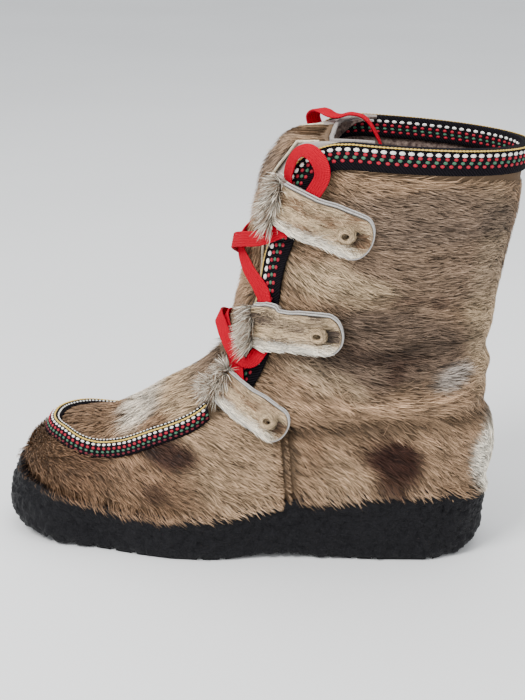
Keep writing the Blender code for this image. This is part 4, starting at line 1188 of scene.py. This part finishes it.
out_leg, in_leg = BRAID_FIT + BRAID, -WALL - BRAID_FIT - BRAID
rim = spots - inwards * (BRAID_FIT + BRAID)
profile = [off_edge(d, out_leg) for d in np.linspace(BRAID_OUTSIDE, 0, 9)]
profile += [rim + normal * h for h in np.linspace(out_leg * .8, in_leg * .9, 5)]
profile += [off_edge(d, in_leg) for d in np.linspace(0, BRAID_INSIDE, 6)]
profile += [off_edge(d, in_leg + BRAID) for d in np.linspace(BRAID_INSIDE, 0, 6)]
profile += [rim + inwards * BRAID + normal * h for h in np.linspace(in_leg * .7, out_leg * .4, 3)]
profile += [off_edge(d, BRAID_FIT) for d in np.linspace(0, BRAID_OUTSIDE, 9)]
grid = np.stack(profile, 1)
quads = np.roll(ring_faces(*grid.shape[:2], flip=True), 1, 1)
edge_braid = braid_cloth("edge_braid_cloth", grid, quads, spots, len(grid) // 2)
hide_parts("edge_braid")
# Rows of thread: depth from the edge (minus on the inner leg), colour, half sizes, pitch, shift in pitches
EDGE_THREADS = (
    (.0010, "white", (.0018, .0011, .0009), .0050, 0),
    (.0033, "red", (.0013, .0010, .0007), .0050, .5),
    (.0053, "green", (.0013, .0010, .0007), .0050, 0),
    (.0073, "red", (.0013, .0010, .0007), .0050, .5),
    (-.0016, "white", (.0015, .0009, .0007), .0046, .5),
    (-.0040, "red", (.0012, .0009, .0006), .0046, 0),
    (-.0060, "green", (.0012, .0008, .0006), .0046, .5),
    (-.0079, "red", (.0012, .0008, .0006), .0046, 0),
)
rows = []
for deep, colour, size, pitch, shift in EDGE_THREADS:
    level = out_leg if deep > 0 else in_leg
    look = normal if deep > 0 else -normal
    rows.append(bead_row(off_edge(abs(deep), level), ahead, look, size, colour, pitch, shift))
beads("edge_braid_threads", rows)
gold_line = rim + normal * (out_leg + .0002)
beads("edge_braid_gold", [bead_row(gold_line, ahead, normal - inwards, (.0012, .0005, .0006), "gold", .0021)])

# The braid over the raised seam: its outline across as distance from the seam and height over the last
VAMP_PROFILE = (
    (-.0074, .0006), (-.0058, .0016), (-.0040, .0030), (-.0024, .0043), (-.0008, .0048), (.0010, .0048),
    (.0024, .0043), (.0036, .0028), (.0044, .0010), (.0040, -.0003), (0, .0030), (-.0040, .0014),
    (-.0070, -.0003),
)
line_places = np.linspace(0, VAMP_BRAID_END, SEAM_POINTS)
place = np.r_[line_places[:0:-1], line_places]
side = np.r_[-np.ones(len(line_places) - 1), np.ones(len(line_places))]
edge, length = edge_share(place), np.interp(place, places, GIRTH)


def off_seam(gap, high):
    """Points a gap from the seam towards the panel, at a height over the last."""
    return skin(place, edge + gap / length, side, high)


grid = np.stack([off_seam(gap, np.full(len(place), high)) for gap, high in VAMP_PROFILE], 1)
seam_line = off_seam(0, np.full(len(place), RIB_HIGH))
ahead = unit(soften(np.gradient(seam_line, axis=0), 4))
vamp_braid = braid_cloth("vamp_braid_cloth", grid, ring_faces(*grid.shape[:2]), seam_line, SEAM_MIDDLE)
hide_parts("vamp_braid")
VAMP_THREADS = (
    (.0030, .0036, "white", (.0008, .0006, .0006), .0024, 0),
    (.0012, .0049, "gold", (.0012, .0006, .0006), .0020, 0),
    (-.0004, .0049, "white", (.0013, .0008, .0007), .0036, 0),
    (-.0024, .0043, "red", (.0012, .0009, .0006), .0036, .5),
    (-.0040, .0032, "green", (.0011, .0008, .0005), .0036, 0),
    (-.0056, .0019, "wine", (.0011, .0008, .0005), .0036, .5),
)
rows = []
for gap, high, colour, size, pitch, shift in VAMP_THREADS:
    near, far = [off_seam(g, np.full(len(place), np.interp(g, *np.array(VAMP_PROFILE[:9]).T)))
                 for g in (gap + .0004, gap - .0004)]
    look = unit(np.cross(ahead, near - far))
    look = np.where((look * outward(place, edge, side)).sum(1, keepdims=True) < 0, -look, look)
    line = off_seam(gap, np.full(len(place), high - .0002))
    rows.append(bead_row(line, ahead, look, size, colour, pitch, shift))
beads("vamp_braid_threads", rows)

# Tabs
# Six straps of pale fur, folded at the front with the lace in the fold and sewn down by a sunk stitch
# near the rear. Their cut edges show two layers of felt.
TAB_THICK = 0.0018
TAB_FIT = 0.0010
TAB_LOW = TAB_FIT + TAB_THICK / 2
TAB_HIGH = TAB_FIT + BRAID_FIT + BRAID + TAB_THICK / 2
TAB_FOLD = 0.0022
TAB_OVER = TAB_HIGH + 2 * TAB_FOLD
TAB_REAR = TAB_LOW + TAB_THICK + 0.0003
# Middle line of each tab from its rear to its front: places and shares, and its length and width
TAB_LINES = {
    "low": (((7.73, .458), (7.6, .491), (7.47, .526), (7.32, .562), (7.16, .6), (6.98, .639),
             (6.79, .681), (6.58, .726), (6.36, .774)), .0479, .0210),
    "mid": (((13.36, .584), (13.19, .624), (12.99, .661), (12.79, .695), (12.59, .727), (12.35, .758),
             (11.92, .788), (10.96, .805), (10.17, .833)), .0541, .0240),
    "top": (((15.52, .514), (15.53, .548), (15.55, .583), (15.56, .618), (15.58, .653), (15.6, .689),
             (15.63, .725), (15.65, .763), (15.68, .802)), .0573, .0255),
}
ROUND_END = 0.17
KNOB_PLACE = 0.27
KNOB_CLEAR = 0.0052
KNOB_REACH = 0.0070
KNOB_SHADE = 0.6
PIT_ASIDE = 0.0008
STRAP_HAIRS, KNOB_HAIRS, TUFT_HAIRS = 6500, 800, 3000
TAB_COLOURS = {"low": ("straw", "brown"), "mid": ("straw", "slate"), "top": ("straw", "brown")}


def tab_half_width(along):
    """Half width of a tab in shares of its own: round at the rear, full from a sixth of its length on."""
    past = (ROUND_END - along) / ROUND_END
    return np.where(along < ROUND_END, np.sqrt(np.clip(1 - past**2, 0, 1)) * .92 + .08, 1.0)


def tab_spot(name, along, across, side):
    """Place, share and side under a point of a tab, along it from 0 (rear) to 1 (front) and across it."""
    spots, _, width = TAB_LINES[name]
    spots = np.array(spots)
    last = len(spots) - 1
    at = np.clip(along, 0, 1) * last
    (place, share), fore, back = [
        [np.interp(near, np.arange(last + 1), spots[:, k]) for k in (0, 1)]
        for near in (at, np.minimum(at + .5, last), np.maximum(at - .5, 0))
    ]
    ahead = skin(*fore, side) - skin(*back, side)
    way = unit(np.cross(outward(place, share, side), ahead))
    return walk(place, share, side, way * (across * width / 2)[..., None], 4), unit(ahead)


felt_edge_finish = mottled(
    "felt_edge", (1200, 3, 0.6), (0.3, 0.7), (112, 104, 96), (158, 148, 136), (2200, 2, 0.0003),
    roughness=0.95, specular_ior_level=0.15)


def knob_height(radius, turn):
    """Height of a knob over its strap: a round ridge, less a pit and a groove outside the ridge."""
    pit = np.hypot(radius * np.cos(turn) + PIT_ASIDE, radius * np.sin(turn))
    ridge = .0036 * np.exp(-((radius - .0030) / .0020) ** 2)
    high = ridge - .0034 * np.exp(-(pit / .0015) ** 2) - .0006 * np.exp(-((radius - .0058) / .0009) ** 2)
    return high * (1 + .3 * np.cos(turn + 1)), pit


def tab_over(along):
    """Height of a strap's upper layer over the last."""
    return TAB_REAR + (TAB_OVER - TAB_REAR) * ramp(along, .42, .64)


def on_tab(name, side, along, across, raised):
    """Points over a strap's outer face, and the last's outward direction under them."""
    place, share, on = tab_spot(name, along, across, np.full(np.shape(along), side))[0]
    return skin(place, share, on, tab_over(along) + TAB_THICK / 2 + raised), outward(place, share, on)


def tab_grid(name, side, path, half_thick):
    """Rows of points round a strap that follows a path of (along, height)."""
    path = np.array(path)
    length = TAB_LINES[name][1]
    flat = path * (length, 1)
    ahead = unit(np.gradient(flat, axis=0))
    wide = tab_half_width(path[:, 0])
    across = np.linspace(-1, 1, 15)
    rows = []
    for way in (-1, 1):
        shift = np.stack([-ahead[:, 1], ahead[:, 0]], 1) * way * half_thick
        along = path[:, 0] + shift[:, 0] / length
        past = np.maximum(along - 1, 0) * length
        a, c = np.broadcast_arrays(along[:, None], across[None] * wide[:, None])
        (place, share, on), fore = tab_spot(name, a, c, np.full(a.shape, side))
        crown = .0007 * (1 - (c / np.maximum(wide[:, None], .05)) ** 4)
        height = (path[:, 1] + shift[:, 1])[:, None] + crown * way
        rows.append(skin(place, share, on, height) + fore * past[:, None, None])
    return rows


rim_finish = mottled(
    "felt_rim", (1500, 3), (0.3, 0.7), (162, 158, 154), (208, 204, 199), (2600, 2, 0.0002),
    roughness=0.9, specular_ior_level=0.2)
for side, side_name in ((1.0, "outer"), (-1.0, "inner")):
    for name in TAB_LINES:
        length, width = TAB_LINES[name][1:]
        fold_at = 1 - TAB_FOLD / length
        path = [(a, TAB_LOW + (TAB_HIGH - TAB_LOW) * ramp(a, .44, .6)) for a in np.linspace(.01, fold_at, 26)]
        path += [(fold_at + np.cos(t) * TAB_FOLD / length, TAB_HIGH + TAB_FOLD + np.sin(t) * TAB_FOLD)
                 for t in np.linspace(-np.pi / 2, np.pi / 2, 9)[1:-1]]
        path += [(a, tab_over(a)) for a in np.linspace(fold_at, .01, 26)]
        outer, inner = tab_grid(name, side, path, TAB_THICK / 2)
        rows, columns = outer.shape[:2]
        ring = np.concatenate([outer, inner[:, ::-1]], 1)
        count = 2 * columns
        j = np.arange(columns - 1)
        cap = np.stack([j, j + 1, count - 2 - j, count - 1 - j], 1)
        faces = [ring_faces(rows, count), cap[:, ::-1], cap + (rows - 1) * count]
        faces = [f[:, ::-1] for f in faces] if side < 0 else faces
        strap = put(f"tab_{side_name}_{name}_strap", ring, faces, felt_edge_finish)
        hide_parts(f"tab_{side_name}_{name}")

        # The two felt layers show as a double rim along the upper edge and round the rear
        turn = np.linspace(-np.pi / 2, np.pi / 2, 25)
        rim_along = np.r_[np.linspace(.94, ROUND_END, 34)[:-1], ROUND_END * (1 - np.cos(turn)),
                          np.linspace(ROUND_END, .9, 30)[1:]]
        rim_across = side * np.r_[np.full(33, -1.0), np.sin(turn), np.full(29, 1.0)]
        for layer, (wider, drop) in enumerate(((1.02, .0002), (1.07, -.0016))):
            line = on_tab(name, side, rim_along, rim_across * wider, drop)[0]
            rope(f"tab_{side_name}_{name}_rim_{layer}", line, .00055, rim_finish)

        # Hair of the strap, lying to the rear and kept inside the rim
        rng = np.random.default_rng(40 + list(TAB_LINES).index(name) + (10 if side < 0 else 0))
        along = rng.uniform(.03, .99, STRAP_HAIRS)
        across = rng.uniform(-.93, .93, STRAP_HAIRS) * tab_half_width(along)
        knob = np.hypot((along - KNOB_PLACE) * length, across * width / 2)
        stay = knob > KNOB_CLEAR
        along, across, knob = along[stay], across[stay], knob[stay]
        count = len(along)
        long = rng.uniform(.006, .012, count)
        swirl = rng.normal(0, .2, count) + .9 * np.exp(-(knob / .006) ** 2) * np.sign(across + .01)
        spots = []
        for part_way, rise in ((0, -.0002), (.5, .0007), (1.0, .0009)):
            down = side * (across + np.sin(swirl) * long * part_way / (width / 2))
            down = np.clip(down, -.92, .92 + .24 * ramp(along, .25, .40) * part_way)
            c = side * down
            rear = ROUND_END * (1 - np.sqrt(np.clip(1 - (down / .96) ** 2, 0, 1))) + .012
            a = np.maximum(along - np.cos(swirl) * long * part_way / length, np.where(down > .93, 0, rear))
            spots.append(on_tab(name, side, a, c, rise * rng.uniform(.4, 1.7, count) + .0004)[0])
        normal = on_tab(name, side, along, across, 0)[1]
        near, far = [PELT[c] for c in TAB_COLOURS[name]]
        at = np.stack([along * length * .2, across * width / 2, 0 * along], 1)
        streak = np.clip(.45 + 1.3 * cloud(at, .0021, 3), 0, 1)
        tint = near + streak[:, None] * (far - near)
        tint = tint + (PELT["cream"] - tint) * (.75 * ramp(across * side, .35, .8))[:, None]
        # Painted shade in the groove round the knob darkens the hair near it
        tint = tint * (1 - .5 * np.exp(-((knob - KNOB_CLEAR) / .0018) ** 2))[:, None]
        tint = tint * np.clip(rng.normal(.95, .36, count), .25, 1.9)[:, None]
        strap_coat = hair(f"tab_{side_name}_{name}_coat", rng, *spots, normal, tint, "pale_fur")
        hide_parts(f"tab_{side_name}_{name}")

        # The knob: a bulge of hide with a groove round it and a pit where the stitch pulls it in, with
        # painted shade in the pit and the groove
        radius, turn = np.linspace(0, KNOB_REACH, 15)[:, None], (np.arange(25) * np.pi / 12)[None]
        a = KNOB_PLACE + radius * np.cos(turn) / length
        c = radius * np.sin(turn) / (width / 2)
        high, pit = knob_height(radius, turn)
        # Painted shade in the pit and in the groove round the knob
        dark = np.clip(np.exp(-(pit / .0018) ** 4) + .75 * np.exp(-((radius - .0058) / .0010) ** 2), 0, 1)
        tint = PELT["straw"] + dark[..., None] * (PELT["umber"] * .5 - PELT["straw"])
        tint = tint * KNOB_SHADE
        body = put(f"knob_{side_name}_{name}_bulge", on_tab(name, side, a, c, high)[0],
                   grid_faces(*tint.shape[:2], 0, side > 0), hide_finish, tint, merge=2e-6)
        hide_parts(f"knob_{side_name}_{name}")
        radius, turn = rng.uniform(.0018, .0056, KNOB_HAIRS), rng.uniform(0, 2 * np.pi, KNOB_HAIRS)
        spots = []
        for part_way, rise in ((0, 0), (.5, .0008), (1, .0011)):
            r, t = radius + .0008 * part_way, turn + .0030 * part_way / np.maximum(radius, .002)
            a, c = KNOB_PLACE + r * np.cos(t) / length, r * np.sin(t) / (width / 2)
            spots.append(on_tab(name, side, a, c, knob_height(r, t)[0] + rise)[0])
        normal = on_tab(name, side, KNOB_PLACE + 0 * radius, 0 * radius, 0)[1]
        # Painted shade in the groove round the knob darkens the hair there
        tint = PELT["straw"] * (1 - .6 * np.exp(-((radius - .0056) / .0009) ** 2))[:, None]
        tint = tint * np.clip(rng.normal(.95, .4, KNOB_HAIRS), .25, 1.7)[:, None]
        hair(f"knob_{side_name}_{name}_coat", rng, *spots, normal, tint, "knob", HAIR_WIDTH * .8)

        # The loose tuft where the strap folds back over the lace
        across = rng.uniform(-1.0, 1.0, TUFT_HAIRS)
        round_fold = rng.uniform(-1.1, 1.5, TUFT_HAIRS)
        a = fold_at + np.cos(round_fold) * (TAB_FOLD + TAB_THICK / 2) / length
        h = TAB_HIGH + TAB_FOLD + np.sin(round_fold) * (TAB_FOLD + TAB_THICK / 2)
        (p, s, on), fore = tab_spot(name, np.clip(a, 0, 1), across, np.full(TUFT_HAIRS, side))
        normal = outward(p, s, on)
        root = skin(p, s, on, h) + fore * (np.maximum(a - 1, 0) * length)[:, None]
        clump = np.stack([cloud(root, .0045, k) for k in (0, 1, 2)], 1)
        long = (rng.uniform(.003, .0125, TUFT_HAIRS) * (1 + .4 * clump[:, 0]))[:, None]
        way = unit(fore * (np.cos(round_fold) * .7)[:, None]
                   + normal * (np.sin(round_fold) * .6 + .2)[:, None]
                   + .30 * rng.standard_normal((TUFT_HAIRS, 3)) + .75 * clump + np.array((0, 0, -.35)))
        middle = root + way * long * .55
        tip = middle + unit(way + .25 * fore + .3 * clump + np.array((0, 0, -.55))) * long * .5
        tint = PELT["brown"] + rng.random(TUFT_HAIRS)[:, None] ** 1.3 * (PELT["cream"] - PELT["brown"])
        tint = tint * np.clip(rng.normal(.85, .32, TUFT_HAIRS), .25, 1.5)[:, None]
        hair(f"tab_{side_name}_{name}_tuft", rng, root, middle, tip, normal, tint, "pale_fur", roll=1.2)

# Sole and insole
# The unit sole is matt black crepe rubber with a smooth band below its rim. Its crumbs are a skin over
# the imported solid, raised from an even copy of it. The insole is a felt bed with a short pile.
CREPE_STEP = 0.0014
CRUMB_SIZE = 0.0026
CRUMB_HIGH = 0.0011
RIM_BAND = 0.0052
CREPE_GAP = 0.00015
BAND_FADE = (-0.0004, 0.0010)
GROUND_FADE = (0.0006, 0.0025)
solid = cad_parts["sole"]
even_copy = bpy.data.objects.new("even_copy", solid.data.copy())
even_copy.matrix_world = solid.matrix_world
bpy.context.scene.collection.objects.link(even_copy)
remesh = even_copy.modifiers.new("even", "REMESH")
remesh.mode = "VOXEL"
remesh.voxel_size = CREPE_STEP
made = even_copy.evaluated_get(bpy.context.evaluated_depsgraph_get()).to_mesh()
at = np.zeros(len(made.vertices) * 3)
made.vertices.foreach_get("co", at)
way = np.zeros(len(made.vertices) * 3)
made.vertices.foreach_get("normal", way)
corners = np.zeros(len(made.loops), np.int32)
made.loops.foreach_get("vertex_index", corners)
turn_matrix = np.array(solid.matrix_world)
at = at.reshape(-1, 3) @ turn_matrix[:3, :3].T + turn_matrix[:3, 3]
way = unit(way.reshape(-1, 3) @ turn_matrix[:3, :3].T)
quads = corners.reshape(-1, 4)
bpy.data.objects.remove(even_copy)
foot_places = places[places <= HEEL_PLACE]
rim_z = np.interp(at[:, 1], skin(foot_places, 0, 1)[:, 1], rim_height(foot_places))
rough = ramp(rim_z - RIM_BAND - at[:, 2], *BAND_FADE) * ramp(at[:, 2], *GROUND_FADE)
coarse, fine = cloud(at, CRUMB_SIZE, 0), cloud(at, CRUMB_SIZE * .55, 1)
crumbs = CRUMB_HIGH * np.maximum(1 + coarse + .7 * fine, 0)
rubber = Finish("crepe_rubber", roughness=0.5, specular_ior_level=0.18)
crumb = rubber.noise(900, 3, 0.6)
rubber.wire("Base Color", rubber.blend(rubber.stretch(crumb, 0.3, 0.75), paint(2, 2, 4), paint(24, 23, 27)))
rubber.relief(crumb, 0.0014)
at = at + way * (CREPE_GAP + rough * crumbs)[:, None]
at[:, 2] = np.maximum(at[:, 2], 0)
put("sole_crepe", at, quads, rubber)
for node, made in (("sole", rubber), ("insole", pile_finish)):
    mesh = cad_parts[node].data
    mesh.materials.clear()
    mesh.materials.append(made.material)
